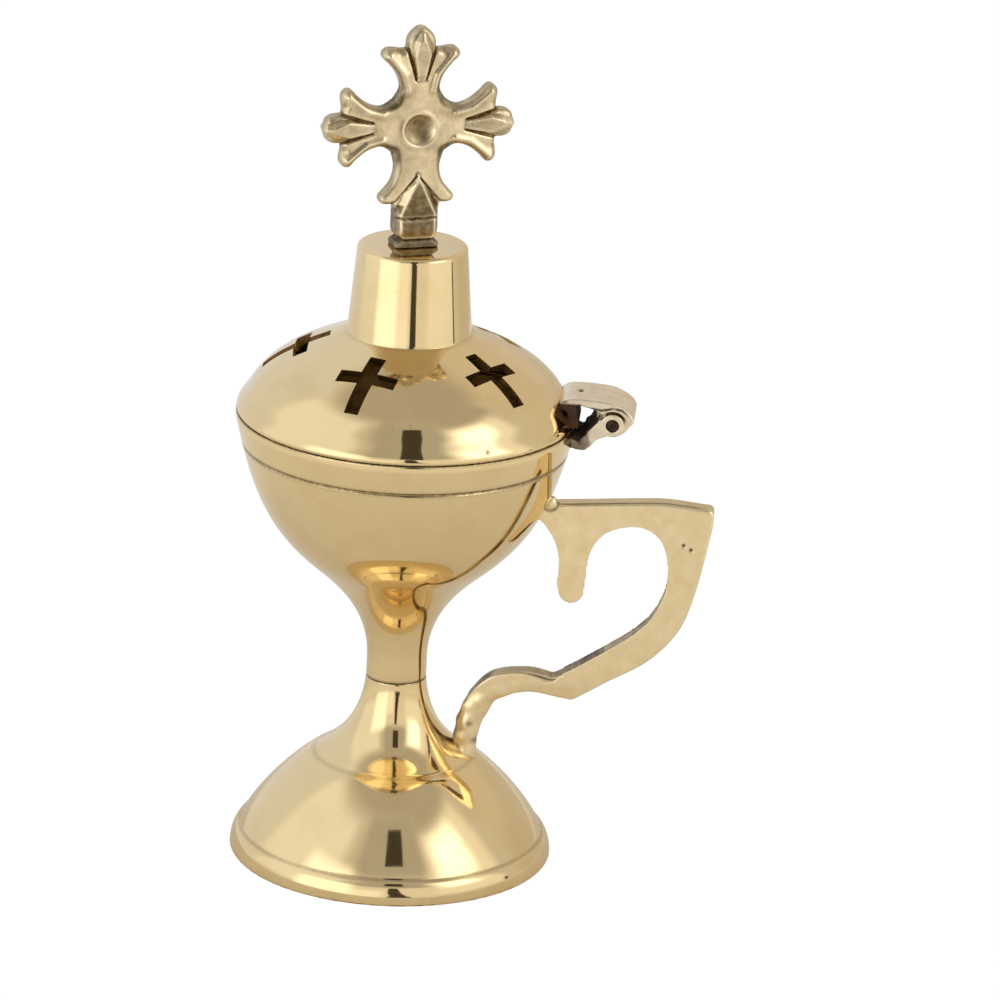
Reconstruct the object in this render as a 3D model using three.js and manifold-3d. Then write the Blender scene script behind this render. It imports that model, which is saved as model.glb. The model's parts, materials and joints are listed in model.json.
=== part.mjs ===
import * as THREE from 'three';
import { mergeVertices } from 'three/addons/utils/BufferGeometryUtils.js';
import Module from 'manifold-3d';

const wasm = await Module();
wasm.setup();

// A hand censer of turned and cast brass, in millimetres, +Z up. A bell foot carries a bowl for the
// charcoal, a domed lid with pierced crosses is hinged to its rim, and a flat cast handle lies on the
// hinge side, towards +X. The turned axis is the line from which every radius is measured.

// Fits between the pieces
const seatGap = 0.3;
const boltClearance = 0.3;
const pinClearance = 0.2;
const hingeSideGap = 0.3;
const knuckleGap = 0.55;

// The foot: a rim band, a convex bell, a small ring and a flare up to the stem joint
const footRadius = 32.2;
const footHeight = 37;
const footRimHeight = 4.7;
const footRimLean = 1.6;
const footRimWall = 2.6;
const footCrease = 0.35;
const footWall = 1.6;
const ringRadius = 16.7;
const ringHeight = 20.2;
const ringStep = 1.5;
const ringRise = 0.8;
const bellShape = [[0.3, 0.5], [0.9, 0.94]];
const footFlareShape = [[0.15, 0.11], [0.9, 0.33]];

// The stem joint and the bolt that draws bowl and foot together
const stemRadius = 6;
const stemStraight = 4;
const boltRadius = 3;
const boltReach = 10;
const boltHeadWidth = 10;
const boltHeadHeight = 4;
const boltSeatHeight = 23;
const boltSeatRadius = 8.5;
const washerRadius = 6.2;
const washerThickness = 1.2;

// The bowl: a flare from the stem, a cup with an engraved line, and a plain rim
const bowlHeight = 55.2;
const bowlRadius = 33.6;
const bowlWaistRadius = 17.7;
const bowlWaistHeight = 24;
const bowlWall = 1.8;
const bowlFloorHeight = 21.5;
const bowlFloorRadius = 9;
const rimBand = 1.2;
const lineDrop = 6.3;
const lineWidth = 0.8;
const lineDepth = 0.3;
const stemFlareShape = [[0, 0.435], [0.44, 0.726]];
const cupShape = [[0.598, 0.264], [0.79, 0.514]];

// The loose charcoal cup that stands inside the bowl
const cupRimDrop = 12;
const cupWall = 0.9;
const cupLip = 0.8;

// The lid: a flared lip, a dome and a hollow collar that rises sharply from it to a flat top
const lidHeight = 34.3;
const lidSetBack = 0.1;
const lidWall = 1.6;
const lipHeight = 4.5;
const lipLean = 2.4;
const collarFootRadius = 12.3;
const collarFootHeight = 16.6;
const collarTopRadius = 10.9;
const collarEdge = 0.9;
const collarWall = 1.6;
const collarTopThickness = 2.6;
const lipShape = [[0, 0.3], [0.6, 0.6]];
const domeShape = [[0.195, 0.516], [0.583, 0.714]];

// The Latin crosses sawn through the dome, the long arm pointing down the slope to a margin above the lip
const crossCount = 5;
const crossCollarMargin = 3.2;
const crossLipMargin = 2.5;
const crossHead = 6.15;
const crossSpan = 12.3;
const crossBar = 3.2;

// The hinge: a lower leaf brazed to the bowl, an upper leaf brazed to the lid, and a pin
const pinReach = 7.35;
const pinRise = 1.5;
const pinRadius = 1.25;
const pinRecess = 0.5;
const hingeWidth = 11.5;
const knuckleRadius = 2.35;
const tongueWidth = 3.7;
const tongueRadius = 3.4;
const tabRise = 5.1;
const tabThickness = 1.9;
const tabOverhang = 4.25;
const armThickness = 2;
const footPlateReach = 0.6;
const leafEdge = 0.3;

// How far the lid opens in degrees, and the direction from the pin in which the lower arm stops its hook
const lidOpening = 115;
const stopDirection = -123;
const stopSlack = 4;

// The handle: one flat casting with a finger loop, a thumb tongue and a curved leg
const handleThickness = 4.2;
const handleEdge = 0.5;
const handleTopDrop = 15.3;
const handleReach = 28.1;
const legDrop = 9;
const handleCorner = 1.3;
const thumbTip = 2.4;
const beadRadius = 1.3;

// The cast cross on the collar: four flared arms with three lobes each, on a short trunk
const finialTurn = 17;
const finialCentre = 24.6;
const armReach = 17.6;
const armNeck = 3.9;
const armSpread = 7.5;
const crookSide = 5.3;
const crossPlate = 3.6;
const plateEdge = 0.7;
const petalReach = 19.7;
const petalLength = 10.6;
const petalRadius = 2.75;
const petalDepth = 2.7;
const lobeLength = 8.6;
const lobeRadius = 1.9;
const lobeAngle = 27;
const lobeStart = 8.2;
const dimpleRadius = 3.5;
const dimpleDepth = 1.1;
const trunkWidth = 8.4;
const trunkDepth = 5.4;
const trunkFootWidth = 6.4;
const trunkTaper = 2.4;
const trunkEdge = 0.6;
const trunkLap = 8.3;
const gableHalfWidth = 3.6;
const gableHeight = 8.4;
const gableRise = 5.6;
const gableDepth = 0.5;
const studRadius = 2;
const studReach = 8;
const studHeadRadius = 3.6;
const studHeadHeight = 2.4;
const studWasherRadius = 4.6;
const studWasherThickness = 0.8;

// Fineness of the round forms
const turnSides = 36;
const smallSides = 20;
const petalSides = 8;

// What follows from these sizes: heights above the ground and reaches from the turned axis
const lidRadius = bowlRadius - lidSetBack;
const rimHeight = footHeight + bowlHeight;
const lidBase = rimHeight + seatGap;
const collarTop = lidBase + lidHeight;
const collarUnder = collarTop - collarTopThickness;
const pinX = bowlRadius + pinReach;
const pinZ = rimHeight + pinRise;
const handleTop = rimHeight - handleTopDrop;
const handleFoot = footHeight - legDrop;
const handleEnd = bowlRadius + handleReach;

const v2 = (x, y) => new THREE.Vector2(x, y);
const degrees = THREE.MathUtils.degToRad;

// Points of a cubic curve from a to b, without a. Its two handles are given as shares of the step from a
// to b, sideways and upwards.
function bend(a, b, shape, steps) {
  const handle = ([across, along]) => v2(a.x + across * (b.x - a.x), a.y + along * (b.y - a.y));
  const curve = new THREE.CubicBezierCurve(a, handle(shape[0]), handle(shape[1]), b);
  return curve.getPoints(steps).slice(1);
}

// Points of a smooth curve through the given points, both ends included
function through(points, steps) {
  return new THREE.SplineCurve(points).getPoints(steps);
}

// Points of an arc about a centre, from one direction to another in degrees
function arc(centre, radius, from, to, steps) {
  const points = [];
  for (let i = 0; i <= steps; i++) {
    const angle = degrees(from + ((to - from) * i) / steps);
    points.push(v2(centre.x + radius * Math.cos(angle), centre.y + radius * Math.sin(angle)));
  }
  return points;
}

// An outline that runs upwards, moved outwards by a distance, or inwards where that is negative
function offset(points, distance) {
  return points.map((point, i) => {
    const before = points[Math.max(i - 1, 0)];
    const after = points[Math.min(i + 1, points.length - 1)];
    const along = after.clone().sub(before).normalize();
    return v2(point.x + along.y * distance, point.y - along.x * distance);
  });
}

// A geometry with its shared corners merged and its empty triangles left out, as a solid for cutting
function toSolid(geometry) {
  const bare = geometry.clone();
  bare.deleteAttribute('normal');
  bare.deleteAttribute('uv');
  const merged = mergeVertices(bare);
  const corners = merged.index.array;
  const faces = [];
  for (let i = 0; i < corners.length; i += 3) {
    const [a, b, c] = [corners[i], corners[i + 1], corners[i + 2]];
    if (a !== b && b !== c && c !== a) faces.push(a, b, c);
  }
  return new wasm.Manifold(new wasm.Mesh({
    numProp: 3,
    vertProperties: Float32Array.from(merged.attributes.position.array),
    triVerts: Uint32Array.from(faces),
  }));
}

// A solid as a geometry that can be drawn
function toGeometry(solid) {
  const mesh = solid.getMesh();
  const geometry = new THREE.BufferGeometry();
  geometry.setAttribute('position', new THREE.BufferAttribute(Float32Array.from(mesh.vertProperties), 3));
  geometry.setIndex(new THREE.BufferAttribute(Uint32Array.from(mesh.triVerts), 1));
  geometry.computeVertexNormals();
  return geometry;
}

// A profile of radius and height turned about the Z axis
function turn(profile, sides = turnSides) {
  return toSolid(new THREE.LatheGeometry(profile, sides).rotateX(Math.PI / 2));
}

// A closed profile, whose last point is its first, turned about the Z axis
function turnClosed(profile, sides = turnSides) {
  return turn([...profile, profile[0].clone()], sides);
}

// A plain round bar along Z between two heights
function bar(radius, low, high, sides = smallSides) {
  return turn([v2(0, low), v2(radius, low), v2(radius, high), v2(0, high)], sides);
}

// An outline in the XZ plane given a thickness along Y, centred on Y = 0, with its edges rounded off
function plate(outline, thickness, edge = 0) {
  const geometry = new THREE.ExtrudeGeometry(new THREE.Shape(outline), {
    depth: thickness - 2 * edge,
    bevelEnabled: edge > 0,
    bevelThickness: edge,
    bevelSize: edge,
    bevelOffset: -edge,
    bevelSegments: 2,
    curveSegments: 1,
  });
  geometry.translate(0, 0, edge - thickness / 2);
  return toSolid(geometry.rotateX(Math.PI / 2));
}

// A bar across the hinge, along Y through the pin's centre
function barAlongPin(radius, width, sides = smallSides) {
  const geometry = new THREE.CylinderGeometry(radius, radius, width, sides);
  geometry.translate(pinX, 0, pinZ);
  return toSolid(geometry);
}

const footOutline = (() => {
  const crease = v2(footRadius - footRimLean, footRimHeight);
  const bellStart = v2(crease.x - footCrease, footRimHeight + footCrease);
  const ring = v2(ringRadius, ringHeight);
  const flareStart = v2(ringRadius - ringStep, ringHeight + ringRise);
  const bandShape = [[0, 0.45], [0.45, 0.85]];
  const bell = [bellStart, ...bend(bellStart, ring, bellShape, 6)];
  return {
    bell,
    whole: [
      v2(footRadius, 0),
      ...bend(v2(footRadius, 0), crease, bandShape, 3),
      ...bell,
      flareStart,
      ...bend(flareStart, v2(stemRadius, footHeight), footFlareShape, 5),
    ],
  };
})();

const bowlOutline = (() => {
  const at = (radius, height) => v2(radius, footHeight + height);
  const waist = at(bowlWaistRadius, bowlWaistHeight);
  const rim = at(bowlRadius, bowlHeight - rimBand);
  const cup = [waist, ...bend(waist, rim, cupShape, 8)];
  const lineHeight = rimHeight - lineDrop;
  const below = cup.filter((point) => point.y < lineHeight - lineWidth);
  const above = cup.filter((point) => point.y > lineHeight + lineWidth);
  const lineRadius = radiusAt(cup, lineHeight);
  const edge = (side) => v2(radiusAt(cup, lineHeight + side), lineHeight + side);
  return {
    cup,
    whole: [
      at(stemRadius, 0),
      at(stemRadius, stemStraight),
      ...bend(at(stemRadius, stemStraight), waist, stemFlareShape, 6).slice(0, -1),
      ...below,
      edge(-lineWidth / 2),
      v2(lineRadius - lineDepth, lineHeight),
      edge(lineWidth / 2),
      ...above,
      at(bowlRadius, bowlHeight - seatGap),
      at(bowlRadius - seatGap, bowlHeight),
    ],
  };
})();

const lidOutline = (() => {
  const at = (radius, height) => v2(radius, lidBase + height);
  const lipEdge = at(lidRadius, 0.5);
  const lipTop = at(lidRadius - lipLean, lipHeight);
  const dome = [lipTop, ...bend(lipTop, at(collarFootRadius, collarFootHeight), domeShape, 9)];
  const edgeCentre = at(collarTopRadius - collarEdge, lidHeight - collarEdge);
  return {
    dome,
    whole: [
      at(lidRadius, 0),
      lipEdge,
      ...bend(lipEdge, lipTop, lipShape, 2).slice(0, -1),
      ...dome,
      ...arc(edgeCentre, collarEdge, 0, 90, 2),
    ],
  };
})();

// The radius of an outline at a height, between its two nearest points
function radiusAt(points, height) {
  const i = points.findIndex((point) => point.y >= height);
  const [low, high] = [points[i - 1], points[i]];
  return low.x + ((high.x - low.x) * (height - low.y)) / (high.y - low.y);
}

// The point of a falling outline, such as the dome's, at a radius
function pointAtRadius(points, radius) {
  const i = points.findIndex((point) => point.x <= radius);
  const [wide, narrow] = [points[i - 1], points[i]];
  const share = (wide.x - radius) / (wide.x - narrow.x);
  return v2(radius, wide.y + (narrow.y - wide.y) * share);
}

// All the room inside an outline, grown by the seat gap, for cutting what is fitted against it
function envelope(outline) {
  const grown = offset(outline, seatGap);
  const low = v2(0, outline[0].y - seatGap);
  const high = v2(0, outline[outline.length - 1].y + seatGap);
  return turn([low, v2(grown[0].x, low.y), ...grown, v2(grown[grown.length - 1].x, high.y), high]);
}

function makeFoot() {
  const boltHole = boltRadius + boltClearance;
  const innerBell = offset(footOutline.bell, -footWall).reverse();
  const insideRim = footRadius - footRimWall;
  return turnClosed([
    ...footOutline.whole,
    v2(boltHole, footHeight),
    v2(boltHole, boltSeatHeight),
    v2(boltSeatRadius, boltSeatHeight),
    v2(boltSeatRadius, boltSeatHeight - footWall),
    ...innerBell,
    v2(insideRim, innerBell[innerBell.length - 1].y),
    v2(insideRim, 0),
  ]);
}

const bowlInside = (() => {
  const floor = v2(bowlFloorRadius, footHeight + bowlFloorHeight);
  const wall = offset(bowlOutline.cup, -bowlWall).slice(1);
  const rise = bend(floor, wall[0], [[0.5, 0], [0.8, 0.5]], 3);
  return [v2(0, floor.y), floor, ...rise, ...wall.slice(1), v2(bowlRadius - bowlWall, rimHeight)];
})();

function makeBowl() {
  const holeRadius = boltRadius + boltClearance;
  const holeTop = footHeight + boltReach + boltClearance;
  return turn([
    v2(0, holeTop + holeRadius / 2),
    v2(holeRadius, holeTop),
    v2(holeRadius, footHeight),
    ...bowlOutline.whole,
    ...bowlInside.slice().reverse(),
  ]);
}

function makeCharcoalCup() {
  const rim = rimHeight - cupRimDrop;
  const inRange = bowlInside.filter((point) => point.y < rim - cupLip);
  const outside = offset(inRange.slice(1), -seatGap);
  outside[0] = v2(outside[0].x, bowlInside[0].y + seatGap);
  const inside = offset(outside, -cupWall);
  inside[0] = v2(outside[0].x, outside[0].y + cupWall);
  const brimRadius = radiusAt(bowlInside.slice(1), rim) - 2 * seatGap;
  return turn([
    v2(0, outside[0].y),
    ...outside,
    v2(brimRadius, rim - cupLip),
    v2(brimRadius, rim),
    v2(brimRadius - 2 * cupWall, rim),
    ...inside.reverse(),
    v2(0, inside[inside.length - 1].y),
  ]);
}

function hexagon(width) {
  return arc(v2(0, 0), width / Math.sqrt(3), 0, 300, 5);
}

function makeFootBolt() {
  const shankLow = boltSeatHeight - washerThickness;
  const head = new THREE.ExtrudeGeometry(new THREE.Shape(hexagon(boltHeadWidth)), {
    depth: boltHeadHeight,
    bevelEnabled: false,
  });
  head.translate(0, 0, shankLow - boltHeadHeight);
  return toSolid(head).add(bar(boltRadius, shankLow - boltHeadHeight / 2, footHeight + boltReach));
}

// A flat washer with a hole for a bolt, its upper face against a seat
function makeWasher(radius, thickness, bolt, seat) {
  const hole = bolt + boltClearance;
  const low = seat - thickness;
  return turnClosed([v2(hole, low), v2(radius, low), v2(radius, seat), v2(hole, seat)], smallSides);
}

// A Latin cross that starts at the origin with its head and has its long arm along +X
function latinCross(length) {
  const half = crossBar / 2;
  const side = crossSpan / 2;
  const upper = [
    v2(length, half),
    v2(crossHead + half, half),
    v2(crossHead + half, side),
    v2(crossHead - half, side),
    v2(crossHead - half, half),
    v2(0, half),
  ];
  const lower = upper.map((point) => v2(point.x, -point.y)).reverse();
  return new THREE.Shape([...upper, ...lower]);
}

// A tool that saws one cross square through the dome, laid along the dome's slope over +X
function crossCutter() {
  const head = pointAtRadius(lidOutline.dome, collarFootRadius + crossCollarMargin);
  const foot = pointAtRadius(lidOutline.dome, lidRadius - lipLean - crossLipMargin);
  const down = foot.clone().sub(head);
  const depth = 8 * lidWall;
  const cutter = new THREE.ExtrudeGeometry(latinCross(down.length()), { depth, bevelEnabled: false });
  cutter.translate(0, 0, -depth / 2);
  cutter.rotateY(Math.atan2(-down.y, down.x));
  return cutter.translate(head.x, 0, head.y);
}

function makeLid() {
  const stud = studRadius + boltClearance;
  const insideCollar = collarTopRadius - collarWall;
  const insideDome = offset(lidOutline.dome, -lidWall).slice(0, -1);
  const body = turnClosed([
    ...lidOutline.whole,
    v2(stud, collarTop),
    v2(stud, collarUnder),
    v2(insideCollar, collarUnder),
    v2(collarFootRadius - collarWall, lidBase + collarFootHeight - lidWall),
    ...insideDome.reverse(),
    v2(lidRadius - lidWall, lidBase + lipHeight / 3),
    v2(lidRadius - lidWall, lidBase),
  ]);
  const cutter = crossCutter();
  let lid = body;
  for (let i = 0; i < crossCount; i++) {
    const angle = ((i + 0.5) * 2 * Math.PI) / crossCount;
    lid = lid.subtract(toSolid(cutter.clone().rotateZ(angle)));
  }
  return lid;
}

const pinAt = (x, z) => v2(pinX + x, pinZ + z);

function makeBowlHingeLeaf() {
  const inside = bowlRadius - pinX - 5;
  const knuckle = arc(pinAt(0, 0), knuckleRadius, -112, 158, 14);
  const armTop = through([pinAt(-3, -1.1), pinAt(-4.2, -2.2), pinAt(-5.2, -3.1), pinAt(-6, -3.4)], 5);
  const armUnder = offset(armTop, -armThickness).reverse();
  const outline = [...knuckle, ...armTop, pinAt(inside, -1.9), pinAt(inside, -5.2), ...armUnder];
  const slot = barAlongPin(tongueRadius + hingeSideGap, tongueWidth + 2 * hingeSideGap, 2 * smallSides);
  return plate(outline, hingeWidth, leafEdge)
    .subtract(slot)
    .subtract(barAlongPin(pinRadius + pinClearance, 2 * hingeWidth))
    .subtract(envelope(bowlOutline.whole));
}

function makeLidHingeLeaf() {
  const hookRadius = knuckleRadius + knuckleGap;
  const hookEnd = stopDirection + lidOpening + stopSlack;
  const inside = bowlRadius - pinX - 7;
  const footFace = bowlRadius - pinX + footPlateReach;
  const footLow = lidBase - pinZ + seatGap;
  const tabLow = tabRise - tabThickness;
  const hook = arc(pinAt(0, 0), hookRadius, hookEnd, 140, 12);
  const tabTop = [
    pinAt(footFace - 3, tabRise - 0.3),
    pinAt(-4, tabRise),
    pinAt(-0.5, tabRise - 0.1),
    pinAt(tabOverhang - 1.4, tabRise - 0.7),
    pinAt(tabOverhang, tabRise - 2.2),
  ];
  const outline = [
    pinAt(inside, tabRise - 0.8),
    ...through(tabTop, 8),
    pinAt(tabOverhang - 0.3, 1.2),
    pinAt(tabOverhang - 0.75, 0),
    ...hook,
    pinAt(-3.8, tabLow - 0.4),
    pinAt(footFace + 0.6, tabLow),
    pinAt(footFace, tabLow - 0.8),
    pinAt(footFace, footLow),
    pinAt(inside, footLow),
  ];
  return plate(outline.reverse(), hingeWidth, leafEdge)
    .add(barAlongPin(tongueRadius, tongueWidth, 2 * smallSides))
    .subtract(barAlongPin(pinRadius + pinClearance, 2 * hingeWidth))
    .subtract(envelope(lidOutline.whole));
}

function makeHingePin() {
  return barAlongPin(pinRadius, hingeWidth - 2 * pinRecess);
}

// A point of the handle's outline, in shares of its reach from the leg's root and of its height above it
function onHandle(across, up) {
  return v2(ringRadius + across * (handleEnd - ringRadius), handleFoot + up * (handleTop - handleFoot));
}

function makeHandle() {
  const at = onHandle;
  const topEdge = [
    at(0.109, 0.959), at(0.331, 0.971), at(0.676, 0.996), at(0.802, 1), at(0.964, 0.986),
  ];
  const backEdge = [
    at(0.998, 0.908), at(0.94, 0.638), at(0.873, 0.46), at(0.744, 0.321), at(0.564, 0.217), at(0.489, 0.172),
    at(0.429, 0.135),
  ];
  const legBack = [
    at(0.409, 0.127), at(0.356, 0.137), at(0.211, 0.153), at(0.087, 0.108), at(0.018, 0), at(-0.004, -0.102),
    at(-0.004, -0.266),
  ];
  const legFront = [
    at(-0.111, -0.266), at(-0.104, -0.061), at(-0.062, 0.09), at(0.047, 0.211), at(0.207, 0.241),
    at(0.318, 0.223),
  ];
  const loop = [
    at(0.333, 0.225), at(0.46, 0.294), at(0.698, 0.45), at(0.791, 0.581), at(0.813, 0.714), at(0.782, 0.834),
    at(0.709, 0.89), at(0.62, 0.894), at(0.522, 0.857), at(0.462, 0.767), at(0.442, 0.603),
  ];
  const thumbFront = [
    at(0.327, 0.634), at(0.329, 0.748), at(0.293, 0.843), at(0.218, 0.914), at(0.109, 0.918),
  ];
  const outline = [
    ...through(topEdge, 8),
    ...arc(at(0.971, 0.961), handleCorner, 75, 0, 3),
    ...through(backEdge, 14),
    ...through(legBack, 12),
    ...through(legFront, 10),
    ...through(loop, 22),
    ...arc(at(0.389, 0.605), thumbTip, -12, -168, 5),
    ...through(thumbFront, 8),
  ].reverse();
  const bead = new THREE.SphereGeometry(beadRadius, 10, 8);
  const beadPlace = at(0.287, 0.975);
  bead.translate(beadPlace.x, -handleThickness / 4, beadPlace.y);
  return plate(outline, handleThickness, handleEdge)
    .add(toSolid(bead))
    .subtract(envelope(bowlOutline.whole))
    .subtract(envelope(footOutline.whole));
}

// A drop shape along +Z from its point to its round end, flattened along Y
function drop(length, radius, depth) {
  const tip = v2(0, 0);
  const widest = v2(radius, 0.7 * length);
  const profile = [
    tip,
    ...bend(tip, widest, [[0.5, 0.3], [0.95, 0.7]], 3),
    ...bend(widest, v2(0, length), [[0, 0.55], [0.5, 0.95]], 3),
  ];
  const geometry = new THREE.LatheGeometry(profile, petalSides).rotateX(Math.PI / 2);
  geometry.scale(1, depth / radius, 1);
  return geometry;
}

// The flat body of the cross: four arms alike, each waisted at the neck and spread at the end
function crossBody() {
  const half = [
    ...through([v2(crookSide, crookSide), v2(armNeck, 8), v2(5.3, 11.2), v2(armSpread - 0.4, 13.8)], 6),
    v2(armSpread, 14.8),
    v2(armSpread - 0.3, 16.2),
    v2(armSpread - 1.2, armReach - 1),
    v2(2.6, armReach - 0.4),
  ];
  const mirrored = half.map((point) => v2(-point.x, point.y)).reverse().slice(0, -1);
  const arm = [...half, ...mirrored];
  const outline = [];
  for (let i = 0; i < 4; i++) {
    const turned = arm.map((point) => point.clone().rotateAround(v2(0, 0), (i * Math.PI) / 2));
    outline.push(...turned);
  }
  return plate(outline, crossPlate, plateEdge);
}

// The trunk under the cross, drawn in where it stands on the collar
function finialTrunk(low) {
  const half = trunkWidth / 2;
  const footHalf = trunkFootWidth / 2;
  const high = -armReach + trunkLap;
  return plate([
    v2(-footHalf, low),
    v2(footHalf, low),
    v2(half, low + trunkTaper),
    v2(half, high),
    v2(-half, high),
    v2(-half, low + trunkTaper),
  ], trunkDepth, trunkEdge);
}

// The raised gable on both faces of the trunk
function finialGable(low) {
  const corners = [v2(-gableHalfWidth, low), v2(gableHalfWidth, low), v2(0, low + gableHeight)];
  return plate(corners, trunkDepth + 2 * gableDepth, gableDepth);
}

function makeFinial() {
  const lower = -finialCentre;
  let finial = crossBody();
  for (const side of [-90, 0, 90]) {
    const petal = drop(petalLength, petalRadius, petalDepth);
    petal.translate(0, 0, petalReach - petalLength);
    finial = finial.add(toSolid(petal.rotateY(degrees(side))));
  }
  for (const side of [-90, 0, 90, 180]) {
    for (const hand of [-1, 1]) {
      const lobe = drop(lobeLength, lobeRadius, crossPlate / 2 + 0.4);
      lobe.rotateY(degrees(hand * lobeAngle));
      lobe.translate(hand * 1.9, 0, lobeStart);
      finial = finial.add(toSolid(lobe.rotateY(degrees(side))));
    }
  }
  finial = finial.add(finialTrunk(lower)).add(finialGable(lower + gableRise));
  const ballRadius = (dimpleRadius ** 2 + dimpleDepth ** 2) / (2 * dimpleDepth);
  for (const face of [-1, 1]) {
    const ball = new THREE.SphereGeometry(ballRadius, 3 * petalSides, 2 * petalSides);
    ball.translate(0, face * (crossPlate / 2 + ballRadius - dimpleDepth), 0);
    finial = finial.subtract(toSolid(ball));
  }
  const stud = bar(studRadius + boltClearance, lower - 1, lower + studReach + boltClearance);
  return finial.subtract(stud);
}

function makeFinialStud() {
  const headTop = collarUnder - studWasherThickness;
  const head = turn([
    v2(0, headTop - studHeadHeight),
    v2(0.7 * studHeadRadius, headTop - studHeadHeight),
    v2(studHeadRadius, headTop - studHeadHeight / 2),
    v2(studHeadRadius, headTop),
    v2(0, headTop),
  ], smallSides);
  return head.add(bar(studRadius, headTop - studHeadHeight / 2, collarTop + studReach));
}

const polishedBrass = new THREE.MeshStandardMaterial({ color: '#e3c488', roughness: 0.12, metalness: 1 });
const castBrass = new THREE.MeshStandardMaterial({ color: '#b49b73', roughness: 0.32, metalness: 1 });
const steel = new THREE.MeshStandardMaterial({ color: '#9a9a98', roughness: 0.4, metalness: 1 });
const tinnedIron = new THREE.MeshStandardMaterial({ color: '#7d7a74', roughness: 0.5, metalness: 1 });

function piece(name, solid, material) {
  const mesh = new THREE.Mesh(toGeometry(solid), material);
  mesh.name = name;
  return mesh;
}

const censer = new THREE.Group();
censer.add(
  piece('foot', makeFoot(), polishedBrass),
  piece('bowl', makeBowl(), polishedBrass),
  piece('foot_bolt', makeFootBolt(), steel),
  piece('foot_washer', makeWasher(washerRadius, washerThickness, boltRadius, boltSeatHeight), steel),
  piece('charcoal_cup', makeCharcoalCup(), tinnedIron),
  piece('lid', makeLid(), polishedBrass),
  piece('bowl_hinge_leaf', makeBowlHingeLeaf(), castBrass),
  piece('lid_hinge_leaf', makeLidHingeLeaf(), castBrass),
  piece('hinge_pin', makeHingePin(), steel),
  piece('handle', makeHandle(), polishedBrass),
  piece('finial_screw', makeFinialStud(), steel),
  piece('finial_washer', makeWasher(studWasherRadius, studWasherThickness, studRadius, collarUnder), steel),
);

const finial = piece('cross_finial', makeFinial(), castBrass);
finial.position.z = collarTop + finialCentre;
finial.rotation.z = degrees(finialTurn);
censer.add(finial);

// The origin lies on the ground, in the middle of the whole censer's reach along X
censer.position.x = (bowlRadius - handleEnd) / 2;

export default censer;
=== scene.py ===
import json
import math

import bmesh
import bpy
import numpy as np
from mathutils import Matrix, Vector


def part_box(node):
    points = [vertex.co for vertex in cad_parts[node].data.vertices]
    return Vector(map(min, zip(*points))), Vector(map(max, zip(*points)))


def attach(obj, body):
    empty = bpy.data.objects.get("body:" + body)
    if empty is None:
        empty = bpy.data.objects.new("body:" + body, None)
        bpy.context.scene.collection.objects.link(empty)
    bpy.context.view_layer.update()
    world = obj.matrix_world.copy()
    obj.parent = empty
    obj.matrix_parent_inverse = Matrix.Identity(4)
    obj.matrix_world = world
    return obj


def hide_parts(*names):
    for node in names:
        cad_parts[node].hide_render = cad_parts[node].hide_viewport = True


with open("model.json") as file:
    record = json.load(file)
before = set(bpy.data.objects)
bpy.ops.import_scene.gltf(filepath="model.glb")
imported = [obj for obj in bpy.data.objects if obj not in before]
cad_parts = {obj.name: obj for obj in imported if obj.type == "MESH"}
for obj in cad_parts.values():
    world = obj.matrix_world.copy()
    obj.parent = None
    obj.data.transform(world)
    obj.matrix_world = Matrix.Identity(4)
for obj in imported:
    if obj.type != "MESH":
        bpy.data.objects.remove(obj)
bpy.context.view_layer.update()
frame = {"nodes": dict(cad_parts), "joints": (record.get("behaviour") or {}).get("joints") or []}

# A hand censer of turned and cast brass: a bell foot, a bowl, a hinged lid with sawn crosses, a flat
# handle and a cast cross. Lengths are in millimetres until a piece is placed, and every radius is
# measured from the axis on which the foot, the bowl and the lid were turned.
MM = 0.001

bowl_low, bowl_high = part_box("bowl")
foot_low, foot_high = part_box("foot")
lid_low, lid_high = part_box("lid")
handle_low, handle_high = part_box("handle")

AXIS_X = (bowl_low.x + bowl_high.x) / 2
BOWL_RADIUS = (bowl_high.x - bowl_low.x) / 2 / MM
FOOT_RADIUS = (foot_high.x - foot_low.x) / 2 / MM
FOOT_HEIGHT = foot_high.z / MM
RIM_HEIGHT = bowl_high.z / MM
LID_BASE = lid_low.z / MM
COLLAR_TOP = lid_high.z / MM
HANDLE_END = (handle_high.x - AXIS_X) / MM
HINGE = next(joint for joint in frame["joints"] if joint["name"] == "lid_hinge")
PIN_X = (HINGE["pos_m"][0] - AXIS_X) / MM
PIN_Z = HINGE["pos_m"][2] / MM
LID_OPENING = HINGE["range_deg"][1]

SEAT_GAP = 0.3
SIDES = 240

# The foot
RIM_BAND_HEIGHT = 4.7
RIM_BAND_LEAN = 1.6
CREASE = 0.35
FOOT_EDGE_IN = 0.3
FOOT_EDGE_UP = 0.4
FOOT_WALL = 1.6
FOOT_RIM_WALL = 2.6
RING_RADIUS = 16.7
RING_HEIGHT = 20.2
RING_STEP = 1.5
RING_RISE = 0.8
BOLT_HOLE = 3.3
BOLT_SEAT_HEIGHT = 23
BOLT_SEAT_RADIUS = 8.5
BAND_SHAPE = ((0, 0.45), (0.45, 0.85))
BELL_SHAPE = ((0.3, 0.5), (0.86, 0.925))
FOOT_FLARE_SHAPE = ((0.27, 0.13), (0.9, 0.33))

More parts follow.
